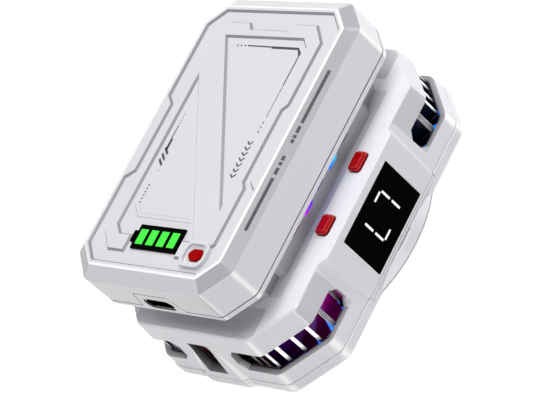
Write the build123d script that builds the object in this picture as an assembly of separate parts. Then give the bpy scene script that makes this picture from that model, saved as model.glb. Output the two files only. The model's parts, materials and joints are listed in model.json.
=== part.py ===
from build123d import *
import os
from math import cos, hypot, radians, sin, sqrt

# A clip-on phone cooler with a battery pack docked on its back, in millimetres.
# The origin is the middle of the face that touches the phone, and +Z is up.
# +X runs along the long side, the readout faces -Y and the power inlet faces -X.

os.makedirs("parts", exist_ok=True)

# Heights, each counted up from the piece below it
pad_t = 0.6
base_floor_t = 1.0
base_h = 2.3
sill_h = 3.6
vent_h = 6.5
skirt_h = 5.55
dock_h = 7.25
pack_base_t = 1.85
pack_h = 12.2
bevel_h = 2.0
rim_drop = 0.2

z_base = pad_t
z_floor = z_base + base_floor_t
z_seam = z_base + base_h
z_sill = z_seam + sill_h
z_vent = z_sill + vent_h
z_deck = z_vent + skirt_h
z_dock = z_deck + dock_h
z_pack_seam = z_dock + pack_base_t
z_top = z_dock + pack_h
z_bevel = z_top - bevel_h

# Cooler body, seen from above
deck_half_x = 36.9
deck_half_y = 26.9
deck_cut = 9.1
corner_round = 2.4
draft_out = 1.5
base_out = 1.7
wall_t = 1.5
deck_t = 1.6
deck_edge = 0.4

# Clearances
slip = 0.15
air = 0.3
shaft_gap = 0.05
seam_gap = 0.1
flush = 0.05
groove_h = 0.18
groove_in = 0.3

# Bays that swell out of the four sides
bay_mid_y = 1.5
bay_front_y = 28.7
bay_half_x = 15.45
bay_root_half_x = 17.3
bay_foot = 0.9
end_bay_x = 39.4
end_bay_shoulder_x = 38.3
end_bay_half_y = 6.0
end_bay_root_half_y = 8.0
end_bay_top_half_y = 3.6
end_bay_top_root_half_y = 6.5
end_bay_top_drop = 1.0

# Vent openings at the four corners
vent_end_x = 18.5
vent_half_y = 8.4
vent_bevel = 1.7

# Power inlet at the -X end
inlet_y = 2.2
recess_w = 6.2
recess_h = 9.0
recess_round = 2.0
recess_top_rise = 0.5

# USB-C sockets, both of the standard size
usb_w = 8.94
usb_h = 3.26
usb_shell_t = 0.3
usb_len = 7.3
usb_tongue_w = 6.7
usb_tongue_t = 0.7
usb_setback = 0.2
socket_depth = 6.2

# Round skirt, contact face and magnets under the base
skirt_top_r = 29.4
skirt_foot_r = 31.3
skirt_cone_h = 1.2
pry_mid_x = -0.2
pry_w = 5.8
pry_h = 0.35
pry_depth = 1.0
plate_r = 20.0
plate_flange_r = 22.0
plate_flange_t = 0.8
pad_gap = 1.0
pad_out_r = 30.5
magnet_in_r = 22.6
magnet_out_r = 26.1
magnet_t = 2.2
magnet_pitch = 15.0
magnet_width = 13.4

# Thermoelectric module and heatsink
tec_side = 30.0
tec_h = 3.0
tec_face_t = 0.7
tec_inset = 1.0
sink_plate_t = 1.0
fin_t = 0.8
fin_setback = 0.5
fin_in_r = 25.2
fin_first = 53.0
fin_wide_pitch = 5.8
fin_wide_count = 5
fin_close_pitch = 3.9
fin_close_count = 3
fin_top_gap = 0.25
sink_wall_gap = 0.3

# Screw posts that join the base to the housing
post_r = 1.9
post_angle = 60.0
post_ring_r = 26.4
post_joint_h = 4.3
screw_r = 0.8
screw_head_r = 1.5
screw_head_t = 0.8
screw_drive_w = 0.45
screw_drive_len = 1.8
screw_drive_t = 0.4
pilot_gap = 0.05
housing_screw_len = 9.0

# Fan
intake_r = 16.4
fan_r = 18.8
fan_tip_gap = 0.6
fan_ring_t = 1.6
fan_ring_h = 3.75
fan_arm_t = 1.5
fan_arm_w = 3.0
fan_plate_r = 7.0
fan_ear_r = 2.1
fan_ear_reach = 2.05
fan_screw_grip = 1.2
hub_r = 9.0
hub_wall_t = 1.6
hub_floor_t = 1.4
blade_count = 15
blade_t = 0.8
blade_h = 6.6
blade_sweep = 34.0
fan_floor_gap = 1.6
shaft_r = 0.75
shaft_len = 6.8
stator_r = 6.4
stator_h = 4.85
bearing_r = 1.5
bearing_end_gap = 0.4
rotor_magnet_t = 0.65
rotor_magnet_h = 4.6

# Readout in the front bay
window_w = 20.2
window_h = 13.1
window_mid = 9.95
window_t = 0.95
window_round = 0.25
module_w = 18.2
module_h = 10.1
module_t = 2.25
digit_pitch = 4.8
digit_w = 3.3
digit_h = 7.4
digit_mid_x = 0.35
digit_mid = 10.2
segment_w = 0.52
segment_gap = 0.5
segment_t = 0.45
segment_slip = 0.03

# Push buttons on the deck
button_x = 7.9
button_y = 23.7
button_len = 4.8
button_w = 3.3
button_proud = 1.2
button_round = 0.9
button_edge = 0.5
button_collar = 0.8
button_collar_t = 0.6
button_travel = 0.5
press_gap = 0.1
collar_gap = 0.15
switch_side = 3.2
switch_h = 1.2
plunger_r = 0.8
plunger_h = 0.4
board_t = 1.0
main_board_half_x = 10.8
main_board_w = 4.0
notch_air = 0.2
post_small_r = 1.0

# Dock that lifts the pack off the deck and lets air in
dock_mid_half_x = 21.3
dock_mid_half_y = 19.6
dock_mid_cut = 1.2
dock_long_half_x = 29.0
dock_long_half_y = 17.8
dock_long_cut = 3.2
dock_wall_t = 1.4
dock_top_t = 2.2
window_slot_w = 4.8
window_slot_pitch = 5.8
window_slot_sill = 2.6
window_slot_head = 0.4
window_slot_step = 0.4
window_slot_round = 1.4
end_slot_w = 22.0
end_slot_h = 3.0
dock_screw_x = 24.6
dock_screw_y = 13.0
dock_screw_end = 2.0
dock_magnet_x = 24.0
dock_magnet_y = 6.5
coin_magnet_r = 3.4
coin_magnet_t = 1.1
guide_t = 1.5
guide_h = 3.9
guide_half_x = 16.0
led_len = 1.4
led_h = 2.6
contact_pitch = 2.5
contact_count = 4
contact_r = 0.7
contact_floor = 0.4

# Battery pack
pack_half_x = 36.5
pack_half_y = 24.9
pack_cut = 6.4
top_half_x = 33.6
top_half_y = 22.0
top_cut = 4.7
top_round = 1.0
rim_w = 0.4
pack_wall_t = 1.6
pack_top_t = 1.8
foot_edge = 0.5
relief = 0.5
cell_x0 = -21.5
cell_x1 = 27.5
cell_half_y = 20.5
cell_h = 7.0
cell_round = 3.0
spacer_gap = 0.5
spacer_half_y = 16.0
pack_board_x0 = -33.4
pack_board_x1 = -23.0
pack_board_half_y = 16.5
pack_usb_rise = 3.3
tab_foot_half_y = 7.0
tab_head_half_y = 5.4
tab_h = 4.95
tab_round = 0.8
pack_post_in = 2.0
pack_screw_x = 31.4
pack_screw_y = 19.4
pack_boss_r = 1.8
pack_screw_len = 5.0

# Battery gauge and button on the pack's face
gauge_x = -25.6
gauge_y = -0.1
gauge_len = 14.4
gauge_w = 5.8
gauge_t = 0.95
gauge_nub_len = 1.1
gauge_nub_w = 2.7
bar_len = 3.6
bar_w = 2.3
bar_pitch = 3.4
bar_count = 4
bar_t = 0.5
gauge_led_w = 1.6
gauge_led_d = 0.8
gauge_led_t = 0.6
ledge = 0.75
pack_button_x = -28.2
pack_button_y = -13.9
pack_button_half_x = 1.35
pack_button_half_y = 2.05
pack_button_cut = 1.0
pack_button_round = 0.4
bezel_half_x = 3.05
bezel_half_y = 3.75
bezel_round = 2.3
bezel_proud = 0.5
bezel_depth = 0.8
bezel_bowl = 0.85
bezel_lip = 0.75
pack_button_proud = 0.15

# Three outlines on the pack's face, anticlockwise: the rim's inner edge, the raised
# plateau with the left panel and the gauge left out of it, and the sunken right panel
RIM_EDGE = [
    (32.6, 17.0), (28.5, 21.1), (9.4, 21.1), (7.3, 18.8), (-9.8, 18.8), (-11.7, 21.1), (-28.5, 21.1),
    (-32.6, 17.0), (-32.6, -17.0), (-28.5, -21.1), (-11.7, -21.1), (-9.8, -18.8), (7.3, -18.8),
    (9.4, -21.1), (28.5, -21.1), (32.6, -17.0),
]
PLATEAU = [
    (-29.1, -8.0), (-29.1, -14.0), (-25.2, -17.5), (-11.6, -17.5), (-10.2, -16.3), (7.9, -16.3),
    (9.3, -17.5), (24.8, -17.5), (29.0, -13.7), (29.0, -7.6), (27.3, -5.9), (27.3, 6.0), (29.0, 7.4),
    (29.0, 13.7), (25.0, 17.5), (9.2, 17.5), (7.9, 16.6), (-10.2, 16.6), (-11.6, 17.5), (-25.1, 17.5),
    (-29.1, 13.9), (-29.1, 9.1), (-25.6, 9.1), (-25.6, 12.7), (-23.3, 15.1), (15.9, 15.1),
    (-25.6, -11.5), (-25.6, -8.0),
]
RIGHT_PANEL = [(25.9, 13.3), (-17.8, -14.3), (23.5, -14.3), (25.9, -12.0)]

CUT_GROWTH = 2 - sqrt(2)
FAR = 60.0


def outline(half_x, half_y, cut, grow=0.0, rounding=0.0):
    """An oblong with its four corners cut at 45 degrees, offset outwards by grow."""
    x = half_x + grow
    y = half_y + grow
    c = cut + CUT_GROWTH * grow
    quarter = [(x, y - c), (x - c, y)]
    points = quarter + [(-px, py) for px, py in reversed(quarter)]
    points = points + [(-px, -py) for px, py in quarter] + [(px, -py) for px, py in reversed(quarter)]
    face = Polygon(*points, align=None)
    radius = rounding + grow if rounding > 0 else 0
    if radius > 0.05:
        face = fillet(face.vertices(), radius)
    return face


def deck_outline(grow=0.0):
    return outline(deck_half_x, deck_half_y, deck_cut, grow, corner_round)


def pack_outline(grow=0.0):
    return outline(pack_half_x, pack_half_y, pack_cut, grow, corner_round)


def slab(face, low, high):
    """A flat plan shape given a height from low to high."""
    return extrude(Pos(0, 0, low) * face, high - low, dir=(0, 0, 1))


def taper(low_face, low, high_face, high):
    """A body that changes evenly from one plan shape to another."""
    return loft([Pos(0, 0, low) * low_face, Pos(0, 0, high) * high_face], ruled=True)


def disc(radius, low, high, x=0.0, y=0.0):
    return Pos(x, y, (low + high) / 2) * Cylinder(radius, high - low)


def tube(outer, inner, low, high, x=0.0, y=0.0):
    return disc(outer, low, high, x, y) - disc(inner, low - 1, high + 1, x, y)


def block(x0, x1, y0, y1, z0, z1):
    centre = Pos((x0 + x1) / 2, (y0 + y1) / 2, (z0 + z1) / 2)
    return centre * Box(x1 - x0, y1 - y0, z1 - z0)


def front_plane(y):
    """Local X is +X, local Y is +Z, and it faces -Y."""
    return Plane(origin=(0, y, 0), x_dir=(1, 0, 0), z_dir=(0, -1, 0))


def end_plane(x):
    """Local X is -Y, local Y is +Z, and it faces -X."""
    return Plane(origin=(x, 0, 0), x_dir=(0, -1, 0), z_dir=(-1, 0, 0))


def push(plane, face, depth):
    """A shape drawn on an upright plane, pushed out of it, or into it if depth is negative."""
    way = plane.z_dir if depth > 0 else plane.z_dir * -1
    return extrude(plane * face, abs(depth), dir=way)


def four_ways(shape):
    """The shape and its mirror images in both upright planes."""
    pair = shape + mirror(shape, about=Plane.YZ)
    return pair + mirror(pair, about=Plane.XZ)


def corners(x, y):
    return [(x, y), (-x, y), (-x, -y), (x, -y)]


def grown(points, distance):
    """An anticlockwise outline moved outwards, or inwards if distance is negative."""
    moved = []
    for i, (x, y) in enumerate(points):
        before = points[i - 1]
        after = points[(i + 1) % len(points)]
        first = hypot(x - before[0], y - before[1])
        second = hypot(after[0] - x, after[1] - y)
        ax, ay = (y - before[1]) / first, (before[0] - x) / first
        bx, by = (after[1] - y) / second, (x - after[0]) / second
        reach = distance / (1 + ax * bx + ay * by)
        moved.append((x + reach * (ax + bx), y + reach * (ay + by)))
    return moved


def sloped(points, low, high, spread):
    """A body with the outline at its top, whose sides slope out to its foot by spread."""
    foot = Polygon(*grown(points, spread), align=None)
    return taper(foot, low, Polygon(*points, align=None), high)


pad_in_r = plate_r + pad_gap
fan_ring_in_r = fan_r + fan_tip_gap
fan_ring_out_r = fan_ring_in_r + fan_ring_t
fan_ear_at = (fan_ring_out_r + fan_ear_reach) / sqrt(2)
post_x = post_ring_r * cos(radians(post_angle))
post_y = post_ring_r * sin(radians(post_angle))
z_post = z_base + post_joint_h
z_under_deck = z_deck - deck_t
z_plate_top = z_floor + plate_flange_t
z_sink = z_plate_top + tec_h
z_sink_top = z_sink + sink_plate_t
z_collar = z_under_deck - collar_gap - button_collar_t
z_main_board = z_collar - button_travel - press_gap - plunger_h - switch_h
z_bay_foot = z_seam - bay_foot


def front_bay_plan(grow=0.0):
    root_y = -(deck_half_y - wall_t)
    shoulder_y = -(deck_half_y - deck_edge)
    points = [
        (-bay_root_half_x - grow, root_y),
        (-bay_root_half_x - grow, shoulder_y),
        (-bay_half_x - grow, -bay_front_y - grow),
        (bay_half_x + grow, -bay_front_y - grow),
        (bay_root_half_x + grow, shoulder_y),
        (bay_root_half_x + grow, root_y),
    ]
    return Polygon(*points, align=None)


def end_bay_plan(front_x, front_half_y, root_x, root_half_y, grow=0.0):
    inside_x = -(deck_half_x - wall_t)
    points = [
        (inside_x, bay_mid_y + root_half_y + grow),
        (-root_x - grow, bay_mid_y + root_half_y + grow),
        (-front_x - grow, bay_mid_y + front_half_y + grow),
        (-front_x - grow, bay_mid_y - front_half_y - grow),
        (-root_x - grow, bay_mid_y - root_half_y - grow),
        (inside_x, bay_mid_y - root_half_y - grow),
    ]
    return Polygon(*points, align=None)


def end_bay_foot_plan(grow=0.0):
    return end_bay_plan(end_bay_x, end_bay_half_y, end_bay_shoulder_x, end_bay_root_half_y, grow)


def end_bay():
    """A bay that grows out of the end wall towards the base."""
    top_z = z_vent - end_bay_top_drop
    lean = draft_out * (z_deck - top_z) / (z_deck - z_seam)
    top_x = deck_half_x + lean
    top = end_bay_plan(top_x, end_bay_top_half_y, deck_half_x, end_bay_top_root_half_y)
    return taper(end_bay_foot_plan(), z_bay_foot, top, top_z)


def vent_profile(end, side):
    """A vent's outline on a wall, with bevelled corners at the end nearest the middle."""
    points = [
        (FAR, z_sill),
        (FAR, z_vent),
        (end + vent_bevel, z_vent),
        (end, z_vent - vent_bevel),
        (end, z_sill + vent_bevel),
        (end + vent_bevel, z_sill),
    ]
    return Polygon(*[(side * x, z) for x, z in points], align=None)


def vent_cutters():
    """The two openings at the -X end, each of which runs round a cut corner."""
    inner_y = -(deck_half_y - 4 * wall_t)
    inner_x = -(deck_half_x - 5 * wall_t)
    front = push(front_plane(inner_y), vent_profile(vent_end_x, -1), FAR)
    near = push(end_plane(inner_x), vent_profile(vent_half_y - bay_mid_y, 1), FAR)
    away = push(end_plane(inner_x), vent_profile(vent_half_y + bay_mid_y, -1), FAR)
    return front + near + mirror(front, about=Plane.XZ) + away


def recess_cutter():
    """The pocket in the end bay that the power plug goes into."""
    top = z_vent + recess_top_rise
    mid = top - recess_h / 2
    face = Pos(-inlet_y, mid) * Rectangle(recess_w, recess_h)
    upper_front = face.vertices().group_by(Axis.Y)[-1].sort_by(Axis.X)[-1]
    face = fillet(upper_front, recess_round)
    return push(end_plane(-(deck_half_x - 2 * wall_t)), face, FAR)


def usb_socket():
    """A socket's shell and tongue, mouth at x = 0 and facing -X, wide along Y."""
    face = SlotOverall(usb_w, usb_h)
    hole = SlotOverall(usb_w - 2 * usb_shell_t, usb_h - 2 * usb_shell_t)
    shell = push(end_plane(0), face, -usb_len)
    mouth = push(end_plane(0), hole, -socket_depth)
    tongue = block(1.0, usb_len, -usb_tongue_w / 2, usb_tongue_w / 2, -usb_tongue_t / 2, usb_tongue_t / 2)
    return shell - mouth + tongue


def upper_housing():
    lower = deck_outline(draft_out)
    body = taper(lower, z_seam, deck_outline(), z_deck)
    deck_rim = body.faces().sort_by(Axis.Z)[-1].edges()
    body = chamfer(deck_rim, deck_edge)
    front = slab(front_bay_plan(), z_bay_foot, z_deck)
    body = body + front + mirror(front, about=Plane.XZ)
    ends = end_bay()
    body = body + ends + mirror(ends, about=Plane.YZ)
    room = slab(deck_outline(-wall_t), z_sill - 1, z_under_deck)
    lower_room = slab(deck_outline(sink_wall_gap - fin_setback), z_bay_foot - 1, z_sill)
    body = body - room - lower_room
    vents = vent_cutters()
    body = body - vents - mirror(vents, about=Plane.YZ) - recess_cutter()
    for x, y in corners(post_x, post_y):
        body = body + disc(post_r, z_post, z_under_deck, x, y)
        body = body - disc(screw_r + pilot_gap, z_post - 1, z_post + housing_screw_len, x, y)
    for x in (-1, 1):
        post = disc(post_small_r, z_main_board, z_under_deck, x * 2 * post_small_r, -button_y + slip)
        body = body + post
    body = body - disc(intake_r, z_under_deck - 1, z_deck + 1)
    for x, y in corners(dock_screw_x, dock_screw_y):
        body = body - disc(screw_r + slip, z_under_deck - 1, z_deck + 1, x, y)
    for x, y in corners(fan_ear_at, fan_ear_at):
        body = body - disc(screw_r + pilot_gap, z_under_deck - 1, z_under_deck + fan_screw_grip, x, y)
    for side in (-1, 1):
        hole = button_plan(slip)
        body = body - slab(Pos(side * button_x, -button_y) * hole, z_under_deck - 1, z_deck + 1)
    body = body - window_cutter()
    for y in (-1, 1):
        seat = inlet_board_post(y)
        body = body + seat
    return body


def window_plan(grow=0.0):
    plate = RectangleRounded(window_w + 2 * grow, window_h + 2 * grow, window_round)
    return Pos(0, window_mid) * plate


def window_cutter():
    front = front_plane(-bay_front_y)
    pocket = push(front, window_plan(slip / 2), -(window_t + flush))
    opening = Pos(0, window_mid) * Rectangle(module_w + 2 * slip, module_h + 2 * slip)
    return pocket + push(front, opening, -(bay_front_y - deck_half_y + 3 * wall_t))


def base_shell():
    body = slab(deck_outline(base_out), z_base, z_seam - groove_h)
    body = body + slab(deck_outline(base_out - groove_in), z_base, z_seam)
    room = slab(deck_outline(base_out - wall_t), z_floor, z_seam + 1)
    foot = slab(end_bay_foot_plan(), z_base, z_bay_foot - seam_gap)
    body = body + foot + mirror(foot, about=Plane.YZ) - room
    cone_mid = z_base + skirt_cone_h / 2
    cone = Pos(0, 0, cone_mid) * Cone(skirt_foot_r, skirt_top_r, skirt_cone_h)
    body = body + (cone - disc(plate_flange_r, z_base - 1, z_seam) - room)
    bay_notch = slab(front_bay_plan(seam_gap), z_bay_foot - seam_gap, z_seam + 1)
    end_notch = slab(end_bay_foot_plan(seam_gap), z_bay_foot - seam_gap, z_seam + 1)
    body = body - bay_notch - mirror(bay_notch, about=Plane.XZ)
    body = body - end_notch - mirror(end_notch, about=Plane.YZ)
    pry_top = z_bay_foot
    pry_y = -(deck_half_y + base_out - pry_depth)
    x0 = pry_mid_x - pry_w / 2
    body = body - block(x0, x0 + pry_w, -FAR, pry_y, pry_top - pry_h, pry_top)
    for x, y in corners(post_x, post_y):
        body = body + disc(post_r, z_base, z_post, x, y)
        body = body - disc(screw_r + slip, z_base - 1, z_post + 1, x, y)
        body = body - disc(screw_head_r + slip, z_base - 1, z_base + screw_head_t + flush, x, y)
    return body - disc(plate_r + slip, z_base - 1, z_seam)


def cold_plate():
    return disc(plate_r, 0, z_floor) + disc(plate_flange_r, z_floor, z_plate_top)


def base_pad():
    return tube(pad_out_r, pad_in_r, 0, z_base)


def magnet_segments():
    skipped = [post_angle, 180 - post_angle, 180 + post_angle, 360 - post_angle]
    segments = []
    ring = tube(magnet_out_r, magnet_in_r, z_floor, z_floor + magnet_t)
    half = radians(magnet_width / 2)
    for step in range(round(360 / magnet_pitch)):
        angle = step * magnet_pitch
        if angle in skipped:
            continue
        wedge = Polygon((0, 0), (FAR * cos(half), -FAR * sin(half)), (FAR * cos(half), FAR * sin(half)), align=None)
        segments.append(ring & (Rot(0, 0, angle) * slab(wedge, z_base, z_seam + magnet_t)))
    return Compound(children=segments)


def peltier_module():
    half = tec_side / 2
    core = half - tec_inset
    body = block(-half, half, -half, half, z_plate_top, z_plate_top + tec_face_t)
    body = body + block(-core, core, -core, core, z_plate_top + tec_face_t, z_sink - tec_face_t)
    return body + block(-half, half, -half, half, z_sink - tec_face_t, z_sink)


def insulation_ring():
    half = tec_side / 2 + slip
    hole = block(-half, half, -half, half, z_plate_top - 1, z_sink + 1)
    return disc(plate_flange_r, z_plate_top, z_sink) - hole


def fin_angles():
    wide = [fin_first - i * fin_wide_pitch for i in range(fin_wide_count)]
    close = [wide[-1] - (i + 1) * fin_close_pitch for i in range(fin_close_count)]
    return wide + close


def heatsink():
    plan = deck_outline(-fin_setback)
    body = slab(plan, z_sink, z_sink_top)
    z_fin_top = z_vent - fin_top_gap
    behind_wall = slab(deck_outline(-wall_t - air), z_sink_top, z_fin_top)
    clear_x = vent_end_x + vent_bevel + air
    clear_y = vent_half_y + vent_bevel + air
    in_vent = slab(plan, z_sink_top, z_fin_top)
    in_vent = in_vent - block(-clear_x, clear_x, -FAR, FAR, z_sink, z_vent)
    in_vent = in_vent - block(-FAR, FAR, bay_mid_y - clear_y, bay_mid_y + clear_y, z_sink, z_vent)
    limit = behind_wall + in_vent
    blades = []
    for angle in fin_angles():
        bar = block(fin_in_r, FAR, -fin_t / 2, fin_t / 2, z_sink_top, z_vent)
        blades.append(Rot(0, 0, angle) * bar)
    quarter = Part() + blades
    body = body + (four_ways(quarter) & limit)
    for x, y in corners(post_x, post_y):
        body = body - disc(post_r + air, z_sink - 1, z_vent, x, y)
    half = recess_w / 2 + 2 * slip
    notch_x = -(deck_half_x - 2 * wall_t) + usb_len
    notch = block(-FAR, notch_x, inlet_y - half, inlet_y + half, z_sink - 1, z_vent)
    module_back = -bay_front_y + window_t + flush + module_t + air
    half = module_w / 2 + air
    return body - notch - block(-half, half, -FAR, module_back, z_sink - 1, z_vent)


def screw_head(x, y, low):
    """A pan head that faces down, with a cross recess for the driver."""
    cross = Rectangle(screw_drive_len, screw_drive_w) + Rectangle(screw_drive_w, screw_drive_len)
    head = disc(screw_head_r, low, low + screw_head_t, x, y)
    return head - slab(Pos(x, y) * cross, low - 1, low + screw_drive_t)


def housing_screws():
    screws = []
    for x, y in corners(post_x, post_y):
        shank = disc(screw_r, z_base + flush + screw_head_t, z_post + housing_screw_len - 1, x, y)
        head = screw_head(x, y, z_base + flush)
        screws.append(head + shank)
    return Compound(children=screws)


z_arm = z_under_deck - fan_arm_t
z_fan = z_sink_top + fan_floor_gap
z_stator = z_arm - stator_h


def fan_frame():
    body = tube(fan_ring_out_r, fan_ring_in_r, z_under_deck - fan_ring_h, z_under_deck)
    body = body + disc(fan_plate_r, z_arm, z_under_deck)
    for angle in (0, 90, 180, 270):
        arm = block(0, fan_ring_in_r + slip, -fan_arm_w / 2, fan_arm_w / 2, z_arm, z_under_deck)
        body = body + Rot(0, 0, angle) * arm
    for x, y in corners(fan_ear_at, fan_ear_at):
        body = body + disc(fan_ear_r, z_arm, z_under_deck, x, y)
    body = body - disc(fan_ring_in_r, 0, z_arm)
    for x, y in corners(fan_ear_at, fan_ear_at):
        body = body - disc(screw_r + slip, z_arm - 1, z_under_deck + 1, x, y)
    board_y = -(deck_half_y - wall_t) + slip + main_board_w + notch_air
    half_x = main_board_half_x + notch_air
    return body - block(-half_x, half_x, -FAR, board_y, z_fan, z_under_deck + 1)


def fan_screws():
    screws = []
    for x, y in corners(fan_ear_at, fan_ear_at):
        shank = disc(screw_r, z_arm, z_under_deck + fan_screw_grip - slip, x, y)
        head = screw_head(x, y, z_arm - screw_head_t)
        screws.append(head + shank)
    return Compound(children=screws)


def fan_stator():
    return tube(stator_r, bearing_r, z_stator, z_arm)


def fan_bearing():
    return tube(bearing_r, shaft_r + shaft_gap, z_stator, z_arm - bearing_end_gap)


def fan_shaft():
    return disc(shaft_r, z_fan, z_fan + shaft_len)


def fan_rotor():
    """A hub cup, open at the top, with swept blades that throw the air outwards."""
    top = z_fan + blade_h
    hub = disc(hub_r, z_fan, top) - disc(hub_r - hub_wall_t, z_fan + hub_floor_t, top + 1)
    root = hub_r - blade_t
    sweep = radians(blade_sweep)
    tip = (fan_r * cos(sweep), fan_r * sin(sweep))
    mid_r = (root + fan_r) / 2
    mid = (mid_r * cos(sweep / 3), mid_r * sin(sweep / 3))
    spine = ThreePointArc((root, 0), mid, tip)
    blade = slab(trace(spine, blade_t), z_fan, top) & disc(fan_r, z_fan, top)
    blade = blade - disc(hub_r - blade_t, z_fan - 1, top + 1)
    body = hub
    for step in range(blade_count):
        body = body + Rot(0, 0, step * 360 / blade_count) * blade
    return body - disc(shaft_r, z_fan - 1, top)


def rotor_magnet():
    outer = hub_r - hub_wall_t
    low = z_fan + hub_floor_t
    return tube(outer, outer - rotor_magnet_t, low, low + rotor_magnet_h)


def display_window():
    back = -bay_front_y + window_t + flush
    body = push(front_plane(back), window_plan(), window_t)
    for segment in all_segments():
        body = body - segment_solid(segment, segment_slip)
    return body


def segment_frames():
    """Name, centre and direction of the seven bars of one digit, about its middle."""
    w = digit_w / 2
    h = digit_h / 2
    return {
        "a": (0, h, 0),
        "b": (w, h / 2, 90),
        "c": (w, -h / 2, 90),
        "d": (0, -h, 0),
        "e": (-w, -h / 2, 90),
        "f": (-w, h / 2, 90),
        "g": (0, 0, 0),
    }


def all_segments():
    return [(digit, name) for digit in (-1, 1) for name in segment_frames()]


def segment_solid(segment, grow=0.0):
    digit, name = segment
    x, z, turn = segment_frames()[name]
    length = digit_w if turn == 0 else digit_h / 2
    length = length - segment_w - segment_gap + segment_w / 2
    bar = RectangleRounded(length + 2 * grow, segment_w + 2 * grow, segment_w / 4)
    place = Pos(digit_mid_x + digit * digit_pitch / 2 + x, digit_mid + z) * Rot(0, 0, turn)
    front = front_plane(-bay_front_y + flush + segment_t)
    return push(front, place * bar, segment_t + 2 * grow)


LIT = [(-1, "f"), (-1, "e"), (-1, "d"), (1, "a"), (1, "b"), (1, "c")]


def digit_segments(lit):
    chosen = [s for s in all_segments() if (s in LIT) == lit]
    return Compound(children=[segment_solid(s) for s in chosen])


def display_module():
    back = -bay_front_y + window_t + flush + module_t
    face = Pos(0, window_mid) * Rectangle(module_w, module_h)
    return push(front_plane(back), face, module_t)


def button_plan(grow=0.0):
    return RectangleRounded(button_len + 2 * grow, button_w + 2 * grow, button_round + grow)


def deck_button(side):
    """A rounded cap on a wider collar that the deck holds down."""
    top = z_deck + button_proud
    collar_top = z_under_deck - collar_gap
    cap = slab(button_plan(), collar_top, top)
    cap = chamfer(cap.faces().sort_by(Axis.Z)[-1].edges(), button_edge)
    half_x = button_len / 2 + button_collar
    half_y = button_w / 2 - slip
    collar = block(-half_x, half_x, -half_y, half_y, collar_top - button_collar_t, collar_top)
    return Pos(side * button_x, -button_y, 0) * (cap + collar)


def deck_switches():
    seat = z_main_board
    switches = []
    for side in (-1, 1):
        half = switch_side / 2
        x = side * button_x
        y = -button_y + slip
        body = block(x - half, x + half, y - half, y + half, seat, seat + switch_h)
        switches.append(body + disc(plunger_r, seat + switch_h, seat + switch_h + plunger_h, x, y))
    return Compound(children=switches)


def main_board():
    y0 = -(deck_half_y - wall_t) + slip
    return block(-main_board_half_x, main_board_half_x, y0, y0 + main_board_w, z_main_board - board_t, z_main_board)


recess_top = z_vent + recess_top_rise
inlet_z = recess_top - recess_h / 2
inlet_mouth_x = -(deck_half_x - usb_setback)
z_inlet_board = inlet_z + usb_w / 2 + board_t


def inlet_board_post(side):
    x = inlet_mouth_x + usb_len + 1.5 * post_small_r
    return disc(post_small_r, z_inlet_board, z_under_deck, x, inlet_y + side * 2.5 * post_small_r)


def usb_c_inlet():
    upright = Rot(90, 0, 0) * usb_socket()
    return Pos(inlet_mouth_x, inlet_y, inlet_z) * upright


def inlet_board():
    x0 = inlet_mouth_x + 2 * wall_t
    x1 = inlet_mouth_x + usb_len + 3 * post_small_r
    half = 4 * post_small_r
    return block(x0, x1, inlet_y - half, inlet_y + half, z_inlet_board - board_t, z_inlet_board)


def dock_plan(grow=0.0):
    mid = outline(dock_mid_half_x, dock_mid_half_y, dock_mid_cut, grow)
    long = outline(dock_long_half_x, dock_long_half_y, dock_long_cut, grow)
    return mid + long


def dock():
    z_ceiling = z_dock - dock_top_t
    body = slab(dock_plan(), z_deck, z_dock) - slab(dock_plan(-dock_wall_t), z_deck - 1, z_ceiling)
    slot_top = z_ceiling - window_slot_head
    for step in range(-2, 3):
        sill = z_deck + window_slot_sill + window_slot_step * (abs(step) != 1)
        slot = Rectangle(window_slot_w, slot_top - sill)
        lower = slot.vertices().group_by(Axis.Y)[0]
        slot = fillet(lower, window_slot_round)
        place = Pos(step * window_slot_pitch, (slot_top + sill) / 2)
        body = body - push(front_plane(FAR), place * slot, 2 * FAR)
    end_slot = block(-FAR, FAR, -end_slot_w / 2, end_slot_w / 2, slot_top - end_slot_h, slot_top)
    body = body - end_slot
    for x, y in corners(dock_screw_x, dock_screw_y):
        body = body + disc(post_r, z_deck, z_ceiling, x, y)
        body = body - disc(screw_r + pilot_gap, z_deck - 1, z_ceiling - dock_screw_end / 2, x, y)
    for x, y in corners(dock_magnet_x, dock_magnet_y):
        body = body - disc(coin_magnet_r + slip, z_dock - coin_magnet_t - flush, z_dock + 1, x, y)
    for x in contact_places():
        body = body - disc(contact_r + slip, z_ceiling - 1, z_dock + 1, x, 0)
    return body


def contact_places():
    first = -(contact_count - 1) / 2 * contact_pitch
    return [first + i * contact_pitch for i in range(contact_count)]


def dock_screws():
    screws = []
    for x, y in corners(dock_screw_x, dock_screw_y):
        shank = disc(screw_r, z_under_deck, z_dock - dock_top_t - dock_screw_end, x, y)
        head = screw_head(x, y, z_under_deck - screw_head_t)
        screws.append(head + shank)
    return Compound(children=screws)


def dock_magnets():
    low = z_dock - coin_magnet_t - flush
    coins = [disc(coin_magnet_r, low, low + coin_magnet_t, x, y) for x, y in corners(dock_magnet_x, dock_magnet_y)]
    return Compound(children=coins)


def contact_board():
    half = contact_count * contact_pitch / 2 + 1
    z = z_dock - dock_top_t
    return block(-half, half, -contact_pitch, contact_pitch, z - board_t, z)


def dock_contacts():
    low = z_dock - dock_top_t
    return Compound(children=[disc(contact_r, low, z_dock, x, 0) for x in contact_places()])


def light_guide(side):
    """A diffuser bar that stands on the deck behind the dock's windows."""
    outer = dock_mid_half_y - dock_wall_t - slip
    y0, y1 = sorted((side * outer, side * (outer - guide_t)))
    return block(-guide_half_x, guide_half_x, y0, y1, z_deck, z_deck + guide_h)


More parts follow.
